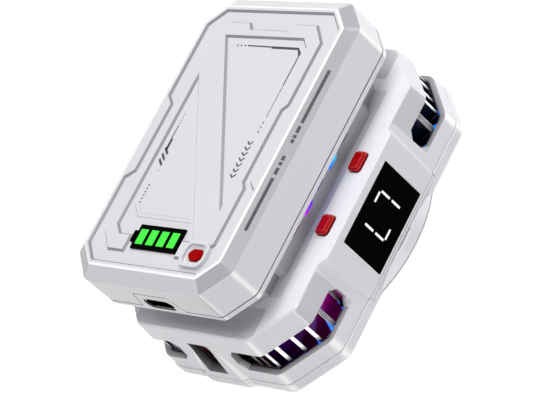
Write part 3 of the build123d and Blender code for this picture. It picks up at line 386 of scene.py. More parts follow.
def cut_anodised(name, outline, plate_z, glow_stops, glint_stops, first, pitch):
    """Black-anodised aluminium, sawn to its outline afterwards: dark satin plate and fin sides, and bare
    bright metal on the cut ends of the fins. The ends that face Y are painted a darker striped grey as shade,
    and the edges are painted brighter as highlights. The dark satin also carries painted light of the lit ring
    above it, as emission: a glow that fades outwards, and a wedge of blue on the plate at each fin's foot."""
    material, tree, shader = blank(name, Metallic=1.0, Emission_Strength=1.0)
    spot = in_millimetres(tree)
    normal, edges = soft_edges(tree, 0.12)
    ax, ay, z = sizes(tree, spot)
    depth = depth_in_octagon(tree, spot, outline)
    cut, past_y, past_x = fin_ends(tree, ax, ay, z, depth, outline, plate_z)
    # Saw lines are 0.1 mm apart, and are drawn at 0.3 mm so that they show
    lines = add(tree, "TexNoise", {"Scale": 3.0, "Detail": 3.0},
                {"Vector": in_millimetres(tree, (1, 1, 0.15))}).outputs["Fac"]
    # The ends grow darker towards the plate, where no light reaches
    height = add(tree, "MapRange", {"From Min": plate_z + 0.4, "From Max": plate_z + 2.2}, {"Value": z})
    bare = add(tree, "Mix", {"data_type": "RGBA", 6: linear("#26262a"), 7: linear("#fafafc")}, {0: height})
    # The ends that face Y are painted a darker grey with saw lines, as shade from the vent's end wall
    side = add(tree, "Mix", {"data_type": "RGBA", 6: linear("#404044"), 7: linear("#a0a0a4")}, {0: lines})
    # Their edges are painted brighter as a highlight
    wear_and_highlight = add(tree, "Mix", {"data_type": "RGBA", 7: linear("#e8e8ec")}, {0: edges, 6: side.outputs[2]})
    # The ends that face X lie in the shade of the vent's end, and only their edges shine
    shaded = add(tree, "Mix", {"data_type": "RGBA", 6: linear("#343438"), 7: linear("#d8d8dc")}, {0: edges})
    end_x = add(tree, "Mix", {"data_type": "RGBA"}, {0: past_x, 6: bare.outputs[2], 7: shaded.outputs[2]})
    end = add(tree, "Mix", {"data_type": "RGBA"}, {0: past_y, 6: end_x.outputs[2], 7: wear_and_highlight.outputs[2]})
    # The dark dye of the plate and fin sides, with edges painted brighter as a highlight
    dye_and_edge_highlight = add(tree, "Mix", {"data_type": "RGBA", 6: linear("#1a1a1d"), 7: linear("#7a7a82")}, {0: edges})
    shade = add(tree, "Mix", {"data_type": "RGBA"}, {0: cut, 6: dye_and_edge_highlight.outputs[2], 7: end.outputs[2]})
    satin = add(tree, "MapRange", {"To Min": 0.14, "To Max": 0.22}, {"Value": lines})
    wear = add(tree, "Math", {"operation": "MULTIPLY_ADD", 1: 0.3}, {0: cut, 2: satin})
    bump = add(tree, "Bump", {"Distance": 0.004 * MM}, {"Height": lines, "Normal": normal})
    glow = painted_ring_light(tree, spot, z, depth, plate_z, glow_stops)
    glints = painted_wedges_at_fins(tree, ax, ay, z, plate_z, glint_stops, first, pitch)
    total = add(tree, "VectorMath", {"operation": "ADD"}, {0: glow, 1: glints})
    dark_end = add(tree, "Math", {"operation": "SUBTRACT", 0: 1.0}, {1: cut})
    shown = add(tree, "VectorMath", {"operation": "SCALE"}, {0: total, "Scale": dark_end})
    join(tree, shader, Base_Color=shade.outputs[2], Roughness=wear, Normal=bump,
         Emission_Color=shown)
    return material


def silicone_rubber(name, colour, shade):
    """Moulded silicone: matt and slightly dusty, with the fine grain of a spark-eroded mould."""
    material, tree, shader = blank(name, IOR=1.42)
    spot = in_millimetres(tree)
    # The grain is 0.1 mm, and is drawn at 0.25 mm so that it shows
    grain = add(tree, "TexNoise", {"Scale": 4.0, "Detail": 3.0}, {"Vector": spot}).outputs["Fac"]
    dust = add(tree, "TexNoise", {"Scale": 0.15, "Detail": 3.0}, {"Vector": spot}).outputs["Fac"]
    mix = add(tree, "Mix", {"data_type": "RGBA", 6: linear(colour), 7: linear(shade)}, {0: dust})
    wear = add(tree, "MapRange", {"From Min": 0.3, "From Max": 0.7, "To Min": 0.55, "To Max": 0.75},
               {"Value": grain})
    bump = add(tree, "Bump", {"Distance": 0.02 * MM}, {"Height": grain})
    join(tree, shader, Base_Color=mix.outputs[2], Roughness=wear, Normal=bump)
    return material


def circuit_board(name, mask, trace):
    """Glass-fibre board under solder mask: copper tracks show as lighter raised lines about 0.6 mm wide."""
    material, tree, shader = blank(name, Roughness=0.35, IOR=1.55)
    cells = add(tree, "TexBrick", {"Scale": 0.35, "Mortar Size": 0.06, "Color1": (0, 0, 0, 1),
                                   "Color2": (0, 0, 0, 1), "Mortar": (1, 1, 1, 1)},
                {"Vector": in_millimetres(tree)})
    mix = add(tree, "Mix", {"data_type": "RGBA", 6: linear(mask), 7: linear(trace)},
              {0: cells.outputs["Color"]})
    bump = add(tree, "Bump", {"Distance": 0.03 * MM}, {"Height": cells.outputs["Fac"]})
    join(tree, shader, Base_Color=mix.outputs[2], Normal=bump)
    return material


def enamelled_wire(name, colour, dark):
    """Copper magnet wire wound round the stator: glossy amber turns with dark gaps, 0.3 mm apart."""
    material, tree, shader = blank(name, Metallic=1.0, Roughness=0.3)
    turns = add(tree, "TexWave", {"wave_type": "BANDS", "bands_direction": "Z", "Scale": 1.0,
                                  "Distortion": 0.6}, {"Vector": in_millimetres(tree)}).outputs["Fac"]
    mix = add(tree, "Mix", {"data_type": "RGBA", 6: linear(dark), 7: linear(colour)}, {0: turns})
    bump = add(tree, "Bump", {"Distance": 0.08 * MM}, {"Height": turns})
    join(tree, shader, Base_Color=mix.outputs[2], Normal=bump)
    return material


def laminate_foil(name, colour, dull):
    """The aluminium-laminate pouch of a battery cell: soft creases some 5 mm long break its sheen."""
    material, tree, shader = blank(name, Metallic=0.8)
    creases = add(tree, "TexNoise", {"Scale": 0.2, "Detail": 4.0, "Roughness": 0.6},
                  {"Vector": in_millimetres(tree)}).outputs["Fac"]
    mix = add(tree, "Mix", {"data_type": "RGBA", 6: linear(colour), 7: linear(dull)}, {0: creases})
    wear = add(tree, "MapRange", {"From Min": 0.3, "From Max": 0.7, "To Min": 0.3, "To Max": 0.5},
               {"Value": creases})
    bump = add(tree, "Bump", {"Distance": 0.3 * MM}, {"Height": creases})
    join(tree, shader, Base_Color=mix.outputs[2], Roughness=wear, Normal=bump)
    return material


def closed_cell_foam(name, colour, dark):
    """Closed-cell foam, cut with a knife: open pores of about half a millimetre, and no gloss."""
    material, tree, shader = blank(name, Roughness=0.95)
    pores = add(tree, "TexVoronoi", {"Scale": 2.0}, {"Vector": in_millimetres(tree)}).outputs["Distance"]
    mix = add(tree, "Mix", {"data_type": "RGBA", 6: linear(dark), 7: linear(colour)}, {0: pores})
    bump = add(tree, "Bump", {"Distance": 0.15 * MM}, {"Height": pores})
    join(tree, shader, Base_Color=mix.outputs[2], Normal=bump)
    return material


def sintered_alumina(name, face, core, low, high):
    """Alumina plates, chalk-white and finely sintered, round a darker core between two heights."""
    material, tree, shader = blank(name, Roughness=0.5, IOR=1.76)
    spot = in_millimetres(tree)
    middle = inside_box(tree, spot, *level(low, high))
    # Sintered grains are 0.02 mm, and are drawn at 0.2 mm so that they show
    grain = add(tree, "TexNoise", {"Scale": 5.0}, {"Vector": spot}).outputs["Fac"]
    mix = add(tree, "Mix", {"data_type": "RGBA", 6: linear(face), 7: linear(core)}, {0: middle})
    bump = add(tree, "Bump", {"Distance": 0.01 * MM}, {"Height": grain})
    join(tree, shader, Base_Color=mix.outputs[2], Normal=bump)
    return material


def ring_light(name, colour, stops, inner, strength):
    """Matt black nylon whose rim, beyond the radius inner, is a light guide. Lamps of several colours blend
    round it."""
    material, tree, shader = blank(name, Roughness=0.5, IOR=1.53)
    spot = in_millimetres(tree)
    # Moulding grain of 0.5 mm
    grain = add(tree, "TexNoise", {"Scale": 2.0, "Detail": 2.0}, {"Vector": spot}).outputs["Fac"]
    mix = add(tree, "Mix", {"data_type": "RGBA", 6: linear(colour), 7: linear("#1c1c20")}, {0: grain})
    split = add(tree, "SeparateXYZ", None, {0: spot})
    flat = add(tree, "CombineXYZ", None, {0: split.outputs[0], 1: split.outputs[1]})
    radius = add(tree, "VectorMath", {"operation": "LENGTH"}, {0: flat})
    rim = add(tree, "Math", {"operation": "GREATER_THAN", 1: inner}, {0: radius.outputs["Value"]})
    ramp = add(tree, "ValToRGB", None, {"Fac": signed_turn(tree, spot)})
    paint_ramp(ramp, stops)
    power = add(tree, "Math", {"operation": "MULTIPLY", 1: strength}, {0: rim})
    bump = add(tree, "Bump", {"Distance": 0.01 * MM}, {"Height": grain})
    join(tree, shader, Base_Color=mix.outputs[2], Emission_Color=ramp, Emission_Strength=power,
         Normal=bump)
    return material


def pad_printed_ink(name, colour, shade):
    """Pad-printed ink: a thin matt film, a little paler where it has worn."""
    material, tree, shader = blank(name, Roughness=0.55, IOR=1.5, Specular_IOR_Level=0.3)
    spot = in_millimetres(tree)
    wear_and_highlight = add(tree, "TexNoise", {"Scale": 1.4, "Detail": 3.0}, {"Vector": spot}).outputs["Fac"]
    share = add(tree, "MapRange", {"From Min": 0.4, "From Max": 0.7}, {"Value": wear_and_highlight})
    mix = add(tree, "Mix", {"data_type": "RGBA", 6: linear(colour), 7: linear(shade)}, {0: share})
    bump = add(tree, "Bump", {"Distance": 0.004 * MM}, {"Height": wear_and_highlight})
    join(tree, shader, Base_Color=mix.outputs[2], Normal=bump)
    return material


# Colours of the lights

# Round the fan, where -X is at 0 and 1, -Y at 0.25, +X at 0.5 and +Y at 0.75
RING = [
    (0.0, "#70000c"), (0.055, "#500008"), (0.075, "#300040"), (0.095, "#60007a"), (0.115, "#b00098"),
    (0.17, "#a80090"), (0.22, "#400080"), (0.27, "#0040c0"), (0.33, "#001860"), (0.42, "#000820"),
    (0.5, "#180040"), (0.6, "#600080"), (0.7, "#a80090"), (0.78, "#0050d0"), (0.88, "#80007a"),
    (0.95, "#70000c"),
]
# Along a light bar, whose outermost slots stay dark
BAR = [
    (0.0, "#08000a"), (0.20, "#10000e"), (0.235, "#d800ff"), (0.27, "#d400ff"), (0.33, "#8400ff"),
    (0.385, "#5200e6"), (0.42, "#2c1cc0"), (0.48, "#2418a8"), (0.54, "#0c083c"), (0.585, "#04040c"),
    (0.60, "#0048ff"), (0.66, "#0a78ff"), (0.72, "#20c8ff"), (0.765, "#18b0f0"), (0.785, "#000c14"),
    (1.0, "#000c14"),
]
# Painted light of the ring on the heatsink behind the vents, with -X at 0 and 1 as above
SINK_GLOW = [
    (0.0, "#30000a"), (0.05, "#280008"), (0.061, "#20000c"), (0.072, "#1c0020"), (0.083, "#34005a"),
    (0.099, "#46003b"), (0.115, "#5d004b"), (0.131, "#900079"), (0.147, "#890073"), (0.2, "#300060"),
    (0.3, "#000840"), (0.353, "#00041a"), (0.37, "#000624"), (0.4, "#000418"), (0.43, "#04000c"),
    (0.5, "#180008"), (0.58, "#200040"), (0.62, "#500080"), (0.66, "#300060"), (0.75, "#001050"),
    (0.84, "#000c58"), (0.87, "#400070"), (0.91, "#600050"), (0.95, "#30000a"),
]
# Painted wedges of blue light by |angle| from X, where 1 is 90 degrees
SINK_GLINTS = [
    (0.30, "#000000"), (0.34, "#08023c"), (0.40, "#100848"), (0.425, "#1a62d8"), (0.46, "#1a6ae0"),
    (0.50, "#0d88f8"), (0.56, "#0d80f0"), (0.60, "#0060e0"),
]


# Masks by place on the object

def within(low, high):
    """A mask of the places in a box in millimetres."""
    def mask(tree, spot):
        return inside_box(tree, spot, low, high)
    return mask


def facing(axis, least, most, low, high):
    """A mask of the faces in a box whose normal's size along an axis is between two values."""
    def mask(tree, spot):
        along = sizes(tree, add(tree, "TexCoord").outputs["Normal"])[axis]
        half = (most - least) / 2
        turned = add(tree, "Math", {"operation": "COMPARE", 1: least + half, 2: half}, {0: along})
        place = inside_box(tree, spot, low, high)
        return add(tree, "Math", {"operation": "MULTIPLY"}, {0: turned, 1: place})
    return mask


def sloping_band(least, most):
    """A mask of the sloping band round the top of the pack, where its share that faces X is between least and
    most."""
    def mask(tree, spot):
        # The band's normal points up by about 0.8
        split = add(tree, "SeparateXYZ", None, {0: add(tree, "TexCoord").outputs["Normal"]})
        leaning = add(tree, "Math", {"operation": "COMPARE", 1: 0.8, 2: 0.13}, {0: split.outputs[2]})
        across = add(tree, "Math", {"operation": "ABSOLUTE"}, {0: split.outputs[0]})
        half = (most - least) / 2
        turned = add(tree, "Math", {"operation": "COMPARE", 1: least + half, 2: half}, {0: across})
        high = inside_box(tree, spot, *level(PACK_TOP - 2.05, PACK_TOP))
        slope = add(tree, "Math", {"operation": "MULTIPLY"}, {0: leaning, 1: turned})
        return add(tree, "Math", {"operation": "MULTIPLY"}, {0: slope, 1: high})
    return mask


def corner_highlight(tree, spot):
    """The upright rounded corners between an octagon's sides, painted brightest as a highlight."""
    # The sides face 0, 45 and 90 degrees off X, and a corner faces the middle between two of them
    ax, ay, up = sizes(tree, add(tree, "TexCoord").outputs["Normal"])
    turn = add(tree, "Math", {"operation": "ARCTAN2"}, {0: ay, 1: ax})
    from_cut = add(tree, "Math", {"operation": "SUBTRACT", 1: math.pi / 4}, {0: turn})
    folded = add(tree, "Math", {"operation": "ABSOLUTE"}, {0: from_cut})
    off_middle = add(tree, "Math", {"operation": "SUBTRACT", 1: math.pi / 8}, {0: folded})
    away = add(tree, "Math", {"operation": "ABSOLUTE"}, {0: off_middle})
    round_part = add(tree, "MapRange", {"From Min": 0.34, "From Max": 0.1}, {"Value": away})
    upright = add(tree, "Math", {"operation": "COMPARE", 1: 0.0, 2: 0.3}, {0: up})
    return add(tree, "Math", {"operation": "MULTIPLY"}, {0: round_part, 1: upright})


def inside_shade(tree, spot):
    """The inside of the shell, painted black as shade. The painted shade fades in through the thickness of the
    wall, and in the socket's recess it starts further in and grows darker inwards."""
    ax, _, z = sizes(tree, spot)
    upright = depth_in_octagon(tree, spot, DECK_OUTLINE)
    # The walls lean out from the deck down to the seam, by 0.096 mm in each mm of height
    wall_lean = 0.096
    lean = add(tree, "Math", {"operation": "MULTIPLY_ADD", 1: -wall_lean, 2: DECK_TOP * wall_lean}, {0: z})
    depth = add(tree, "Math", {"operation": "ADD"}, {0: upright, 1: lean})
    edge = add(tree, "MapRange", {"From Min": 0.25, "From Max": 1.4, "To Max": 0.42}, {"Value": depth})
    behind = add(tree, "Math", {"operation": "GREATER_THAN", 1: 1.45}, {0: depth})
    shade_share = add(tree, "Math", {"operation": "MAXIMUM"}, {0: edge, 1: behind})
    low = inside_box(tree, spot, *level(2.0, 17.0))
    walls = add(tree, "Math", {"operation": "MULTIPLY"}, {0: shade_share, 1: low})
    pocket = inside_box(tree, spot, (-39.3, -1.0, 4.4), (-33.0, 5.4, 13.6))
    inwards = add(tree, "MapRange", {"From Min": 39.4, "From Max": 36.0, "To Min": 0.35}, {"Value": ax})
    dark = add(tree, "Math", {"operation": "MULTIPLY"}, {0: pocket, 1: inwards})
    return add(tree, "Math", {"operation": "MAXIMUM"}, {0: walls, 1: dark})


def pack_gaps(tree, spot):
    """The faces behind the pack's outer skin, painted dark as shade: its seam, the gap round the tab and the
    mouth.
    """
    depth = depth_in_octagon(tree, spot, PACK_OUTLINE)
    behind = add(tree, "Math", {"operation": "GREATER_THAN", 1: 0.24}, {0: depth})
    low = inside_box(tree, spot, *level(PACK_SEAM - 1.05, PACK_TOP - 2.1))
    return add(tree, "Math", {"operation": "MULTIPLY"}, {0: behind, 1: low})


def relief_walls(tree, spot):
    """The upright walls of the relief on top of the pack, which face away from the lamps and are painted
    darker as shade.
    The relief starts 3.3 mm in from the outline."""
    depth = depth_in_octagon(tree, spot, PACK_OUTLINE)
    inner = add(tree, "Math", {"operation": "GREATER_THAN", 1: 3.3}, {0: depth})
    walls = facing(2, -0.01, 0.95, *level(PACK_TOP - 0.65, PACK_TOP - 0.01))(tree, spot)
    return add(tree, "Math", {"operation": "MULTIPLY"}, {0: inner, 1: walls})


def pack_rim_highlight(tree, spot):
    """The rim round the top of the pack, 3.05 mm in from the outline, painted brightest as a highlight."""
    depth = depth_in_octagon(tree, spot, PACK_OUTLINE)
    line = add(tree, "Math", {"operation": "COMPARE", 1: 3.05, 2: 0.26}, {0: depth})
    high = inside_box(tree, spot, *level(PACK_TOP - 0.25, PACK_TOP + 0.01))
    return add(tree, "Math", {"operation": "MULTIPLY"}, {0: line, 1: high})


def pack_lines(tree, spot):
    """The seam round the pack and the gap round its socket's tab, which are 0.1 to 0.2 mm wide, and are drawn
    at 0.26 mm so that they show."""
    ay, z = sizes(tree, spot)[1:]
    # The tab's sides lean in from 7 mm off the middle at the seam to 5.4 mm at the top
    foot_half, head_half = 7.0, 5.4
    side = Vector((TAB_TOP - PACK_SEAM, foot_half - head_half)).normalized()
    start = -foot_half * side.x - PACK_SEAM * side.y
    rise = add(tree, "Math", {"operation": "MULTIPLY_ADD", 1: side.y, 2: start}, {0: z})
    off_side = add(tree, "Math", {"operation": "MULTIPLY_ADD", 1: side.x}, {0: ay, 2: rise})
    off_top = add(tree, "Math", {"operation": "SUBTRACT", 1: TAB_TOP}, {0: z})
    off = add(tree, "Math", {"operation": "MAXIMUM"}, {0: off_side, 1: off_top})
    outline = add(tree, "Math", {"operation": "COMPARE", 1: 0.05, 2: 0.13}, {0: off})
    end = inside_box(tree, spot, (-37.0, -9.0, PACK_SEAM - 0.15), (-36.3, 9.0, TAB_TOP + 0.4))
    tab_line = add(tree, "Math", {"operation": "MULTIPLY"}, {0: outline, 1: end})
    seam = inside_box(tree, spot, *level(PACK_SEAM - 0.25, PACK_SEAM + 0.01))
    foot = inside_box(tree, spot, (-37.0, -foot_half, PACK_SEAM - 0.35), (-35.0, foot_half, PACK_SEAM + 0.15))
    seam_line = add(tree, "Math", {"operation": "SUBTRACT", "use_clamp": True}, {0: seam, 1: foot})
    return add(tree, "Math", {"operation": "MAXIMUM"}, {0: tab_line, 1: seam_line})


def slot_light(tree, spot):
    """The strip of deck with a painted reflection of the lit slots in the dock's side."""
    strip = inside_box(tree, spot, (-14.0, -21.3, DECK_TOP - 0.25), (8.0, -19.3, DECK_TOP + 0.25))
    split = add(tree, "SeparateXYZ", None, {0: spot})
    off = add(tree, "Math", {"operation": "ADD", 1: 3.0}, {0: split.outputs[0]})
    away = add(tree, "Math", {"operation": "ABSOLUTE"}, {0: off})
    fade = add(tree, "MapRange", {"From Min": 10.5, "From Max": 5.0}, {"Value": away})
    return add(tree, "Math", {"operation": "MULTIPLY"}, {0: strip, 1: fade})


# Finishes of the CAD nodes

DECK_LEVEL = (DECK_TOP - 0.25, DECK_TOP + 0.15)
VENT_WALL = (VENT_LOW + 0.1, DECK_TOP - 0.25)
SHADES = {
    "pack_white": [
        # The band is painted a shade greyer than the top as shade, and least so at the ends
        (sloping_band(0.0, 0.45), "#a9a9ad", 1.0),
        (sloping_band(0.45, 0.7), "#cbcbcf", 1.0),
        # Painted highlights on the rounded corners
        (corner_highlight, "#ffffff", 1.0),
        (relief_walls, "#8e8e94", 1.0),
        (pack_rim_highlight, "#fafafc", 1.0),
        (pack_gaps, "#0c0c0e", 1.0),
        # The two ends in X, painted darker as shade
        (facing(0, 0.9, 1.01, *level(26.0, 36.0)), "#c6c6ca", 1.0),
        (pack_lines, "#2c2c30", 0.85),
        # The ledges in the seam, and the walls beside the tab
        (facing(2, 0.9, 1.01, *level(PACK_SEAM - 0.45, PACK_SEAM + 0.1)), "#101012", 1.0),
        (facing(0, -0.01, 0.3, (-37, -14, PACK_SEAM - 0.45), (-35.9, 14, TAB_TOP - 0.6)), "#101012", 1.0),
    ],
    "housing_white": [
        # Painted highlights on the rounded corners
        (corner_highlight, "#ffffff", 1.0),
        # The groove between the two halves of the body
        (within(*level(*BODY_SEAM)), "#a4a4a8", 1.0),
        # The sills of the vents and of the inlet's recess, painted darker as shade
        (facing(2, 0.3, 1.01, *level(4.4, 6.6)), "#a6a6aa", 1.0),
        # The top of the deck, painted lighter as light falling on it
        (facing(2, 0.97, 1.01, *level(*DECK_LEVEL)), "#eaeaee", 1.0),
        # The skirt below the readout, painted darker as shade
        (facing(1, 0.1, 1.01, (-FAR, -FAR, 0.0), (FAR, -28.7, 2.9)), "#c2c2c6", 1.0),
        # The walls in Y beside the vents' ends, painted darker as shade
        (facing(1, 0.85, 1.01, (-FAR, -FAR, VENT_WALL[0]), (-18.6, FAR, VENT_WALL[1])), "#c4c4c8", 1.0),
        (facing(1, 0.85, 1.01, (18.6, -FAR, VENT_WALL[0]), (FAR, FAR, VENT_WALL[1])), "#c4c4c8", 1.0),
        # The deck past the two ends of the dock, painted darker as the pack's shadow
        (facing(2, 0.97, 1.01, (-FAR, -19, DECK_LEVEL[0]), (-29, 19, DECK_LEVEL[1])), "#c8c8cc", 1.0),
        (facing(2, 0.97, 1.01, (29, -19, DECK_LEVEL[0]), (FAR, 19, DECK_LEVEL[1])), "#c8c8cc", 1.0),
        # A painted reflection of the dock's dark side on the strip of deck beside it
        (within((-26.0, -21.3, DECK_TOP - 0.25), (26.0, -17.0, DECK_TOP + 0.25)), "#8a8a90", 0.3),
        (slot_light, "#9098e0", 0.35),
        (inside_shade, "#0e0e10", 1.0),
        # The end wall of the vent beside the readout, painted with the magenta light that the lit ring throws
        # on it
        (within((-18.7, -26.6, VENT_LOW), (-15.0, -20.0, VENT_HIGH)), "#c0009a", 1.0),
    ],
    # The lowest part of a deck button, in the shadow of its hole
    "red_button": [(within(*level(16.0, DECK_TOP + 0.25)), "#640208", 1.0)],
}

FINISH = {
    "pack_white": moulded_plastic("abs_gloss_white_pack", "#d8d8dc", "#ffffff", 0.26, 0.14),
    "housing_white": moulded_plastic("abs_gloss_white_body", "#dadade", "#ffffff", 0.28, 0.28),
    # The dock is the same white plastic, painted darker as shade beneath the pack
    "dock_white": moulded_plastic("abs_gloss_white_dock", "#c6c6cb", "#dcdce0", 0.3, 0.15),
    "red_button": moulded_plastic("abs_satin_red", "#a2060d", "#ff6a68", 0.24, 0.22, 0.08),
    "bezel": moulded_plastic("abs_gloss_white_ring", "#d8d8dc", "#ffffff", 0.25, 0.2),
    "black_window": smoked_acrylic("smoked_acrylic", 0.12, 0.006),
    "lit_digit": lit_diffuser("readout_white_glow", "#ffffff", "#f4f8ff", 1.0),
    "dark_digit": smoked_acrylic("unlit_readout_acrylic", 0.12, 0.006),
    "lit_bar": lit_diffuser("gauge_green_glow", "#4cff4c", "#46f648", 1.0),
    "sink_metal": cut_anodised("anodised_aluminium_cut_bare", DECK_OUTLINE, PLATE_TOP, SINK_GLOW, SINK_GLINTS,
                               53.0, 5.8),
    "plate_metal": turned_metal("turned_aluminium", "#c9cacd", "#b4b6ba", 0.25),
    "steel": plated_metal("zinc_plated_steel", "#b8b8bd", "#9a9aa0", 0.22, (1, 1, 3)),
    "magnet": plated_metal("nickel_plated_magnet", "#d0d0d4", "#bcbcc2", 0.12, (1, 1, 1)),
    "fan_black": ring_light("black_nylon_with_light_guide", "#121214", RING, 19.0, 1.4),
    "winding": enamelled_wire("enamelled_copper", "#b8703c", "#3a1c0e"),
    "bearing_brass": plated_metal("sintered_bronze", "#b89048", "#8a6a34", 0.35, (3, 3, 1)),
    "board_black": circuit_board("solder_mask_dark_green", "#0c1a12", "#16301f"),
    "switch_grey": moulded_plastic("nylon_dark_grey", "#2a2a2c", "#3c3c3e", 0.5, 0.1),
    "silicone": silicone_rubber("silicone_dark_grey", "#262629", "#303034"),
    "ceramic": sintered_alumina("sintered_alumina", "#e8e6de", "#3a3632", 3.1, 4.7),
    "foam": closed_cell_foam("closed_cell_foam", "#2c2c2e", "#0c0c0d"),
    "battery_wrap": laminate_foil("aluminium_laminate_pouch", "#b4b8be", "#9a9ea6"),
    "diffuser": light_bar("milky_light_bar", BAR_ENDS, BAR, 2.5),
    "led": lit_diffuser("lamp_lens", "#f0f4ff", "#d8e4ff", 0.6),
    "gold": plated_metal("gold_plating", "#dcb060", "#c89a4c", 0.18, (1, 1, 1)),
}
for slot_name, rows in SHADES.items():
    for mask_of, colour, share in rows:
        shaded_where(FINISH[slot_name], mask_of, colour, share)
# The dock's side walls get a painted glow in the colours of the bars, in their thickness
painted_bar_glow(FINISH["dock_white"], BAR_ENDS, 18.1, 19.5, 18.7, 23.8, BAR)

for part in frame["record"]["subparts"]:
    node = NODES[part["node"]]
    finish = FINISH[part["material_slot"]]
    if node.data.materials:
        for place in node.material_slots:
            place.material = finish
    else:
        node.data.materials.append(finish)

# The rotor is plain black: only the still ring round it is a light guide
rotor_black = moulded_plastic("black_nylon_blades", "#141416", "#26262a", 0.45, 0.12)
NODES["fan_rotor"].material_slots[0].material = rotor_black
# The pack's button lies deep in its ring, where little light is mirrored
pack_button_red = moulded_plastic("abs_satin_red_pack", "#a00409", "#c8242a", 0.3, 0.15, 0.01)
NODES["pack_button"].material_slots[0].material = pack_button_red
# The two sockets stand in different places, so each has its own mouth
pack_socket = socket_metal("nickel_plated_socket_pack", "#c8c8cc", "#060607", "#000000",
                           ((-36.2, -4.2, 27.6), (-30.0, 4.2, 30.6)), (0.0, 1.0))
NODES["pack_usb_c"].material_slots[0].material = pack_socket
# The inlet's shell, deep in its recess, is painted darker as shade, and its mouth gets a painted red glow of
# the ring's light
inlet_socket = socket_metal("nickel_plated_socket_inlet", "#6c6c72", "#060607", "#5a0008",
                            ((-36.6, 0.8, 4.8), (-30.0, 3.6, 13.2)), (8.0, 13.0))
NODES["usb_c_inlet"].material_slots[0].material = inlet_socket


# Printed marks on the pack

def stroke(a, b, width, width_end=None):
    """The four corners of a straight mark from a to b."""
    a, b = Vector(a), Vector(b)
    side = (b - a).normalized().orthogonal() / 2
    end = width if width_end is None else width_end
    return [a + side * width, b + side * end, b - side * end, a - side * width]


def film(name, marks, lift, body, material, to_face):
    """Printed marks as one thin mesh. to_face turns a mark's two coordinates into a point on its face."""
    mesh = bpy.data.meshes.new(name)
    shape = bmesh.new()
    for mark in marks:
        low = [shape.verts.new(to_face(x, y, 0.0)) for x, y in mark]
        high = [shape.verts.new(to_face(x, y, lift)) for x, y in mark]
        shape.faces.new(low[::-1])
        shape.faces.new(high)
        for i in range(len(mark)):
            j = (i + 1) % len(mark)
            shape.faces.new([low[i], low[j], high[j], high[i]])
    bmesh.ops.recalc_face_normals(shape, faces=shape.faces[:])
    shape.to_mesh(mesh)
    shape.free()
    mesh.materials.append(material)
    piece = bpy.data.objects.new(name, mesh)
    bpy.context.scene.collection.objects.link(piece)
    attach(piece, body)


# The print is 0.02 mm thick, and 0.01 mm of it is in the plastic
LIFT = 0.02
SUNK = 0.01
# The field on top of the pack lies half a millimetre below the rim
FIELD = PACK_TOP - 0.5
# The sloping face towards -Y starts 0.2 mm below the top, at y -22, and falls 1.8 mm over 2.9 mm
SLOPE_TOP = PACK_TOP - 0.2
SLOPE_START = -22.0
SLOPE_FALL = 1.8 / 2.9
SLOPE_NORMAL = (0.527, 0.85)


def on_field(x, y, up):
    """A point on the field, from its place in X and Y and its height over the print's foot."""
    return Vector((x, y, FIELD - SUNK + up)) * MM


def on_slope(x, y, up):
    """A point on the sloping face towards -Y, from its place in X and Y and its height over the print's
    foot."""
    z = SLOPE_TOP - (SLOPE_START - y) * SLOPE_FALL
    return Vector((x, y - (up - SUNK) * SLOPE_NORMAL[0], z + (up - SUNK) * SLOPE_NORMAL[1])) * MM


grey_ink = pad_printed_ink("printed_ink_grey", "#3c3c3e", "#4a4a4c")
faint_ink = pad_printed_ink("printed_ink_faint", "#8e8e92", "#a2a2a6")

right_marks = [stroke((23.55, y), (23.55, y - 0.45), 0.4) for y in (8.2, 7.0, 5.8)]
right_marks += [
    stroke((23.6, 4.7), (23.5, -3.1), 0.34), stroke((23.4, -3.1), (23.35, -11.4), 0.62),
    [(23.66, -11.4), (23.04, -11.4), (21.55, -12.5), (21.55, -12.95), (22.3, -12.95)],
    stroke((21.6, -12.72), (14.1, -12.68), 0.36), stroke((14.1, -12.74), (6.0, -12.74), 0.2),
]
right_marks += [stroke((x, -12.5), (x - 0.5, -12.75), 0.3) for x in (4.9, 3.8, 2.6)]
for step in range(7):
    x = -0.9 - 1.37 * step
    right_marks.append(stroke((x, -12.0), (x + 0.75, -11.05), 0.38))
    right_marks.append(stroke((x, -12.05), (x + 0.85, -12.75), 0.38))
film("printed_marks_right", right_marks, LIFT, "pack", grey_ink, on_field)

left_marks = [stroke((5.4 - 0.78 * i, 12.95), (5.05 - 0.78 * i, 12.95), 0.24) for i in range(4)]
left_marks += [stroke((2.4, 13.0), (-1.1, 13.02), 0.3, 0.36), stroke((-1.1, 12.76), (-3.9, 12.72), 0.8)]
# Three slashes, 1.75 mm long in Y and 0.8 mm wide in X
left_marks += [[(x, 13.35), (x + 0.8, 13.35), (x - 0.7, 11.6), (x - 1.5, 11.6)] for x in (-3.9, -5.4, -6.76)]
left_marks += [stroke((-9.1, 11.6), (-9.4, 11.6), 0.24)]
left_marks += [stroke((-12.8 - 0.86 * i, 12.1), (-13.15 - 0.86 * i, 12.1), 0.5) for i in range(6)]
film("printed_marks_left", left_marks, LIFT, "pack", grey_ink, on_field)
hair = [stroke((-18.0, 13.2), (-20.8, 10.3), 0.12), stroke((-20.8, 10.3), (-20.9, -7.0), 0.12)]
hair += [stroke((-17.6, 11.8), (-19.5, 10.4), 0.08), stroke((-19.8, 10.1), (-20.0, -6.4), 0.06)]
film("printed_hairlines", hair, LIFT, "pack", faint_ink, on_field)

SIDE = -23.4
dashes = [(18.8, 5.6), (4.84, 3.16), (2.67, 1.89), (1.57, 0.67), (-2.5, -3.65), (-4.06, -4.83),
          (-5.43, -7.06), (-7.95, -20.7)]
slope_marks = [stroke((a, SIDE), (b, SIDE), 0.62) for a, b in dashes]
film("printed_marks_edge", slope_marks, LIFT, "pack", grey_ink, on_slope)


# Floor, light and camera

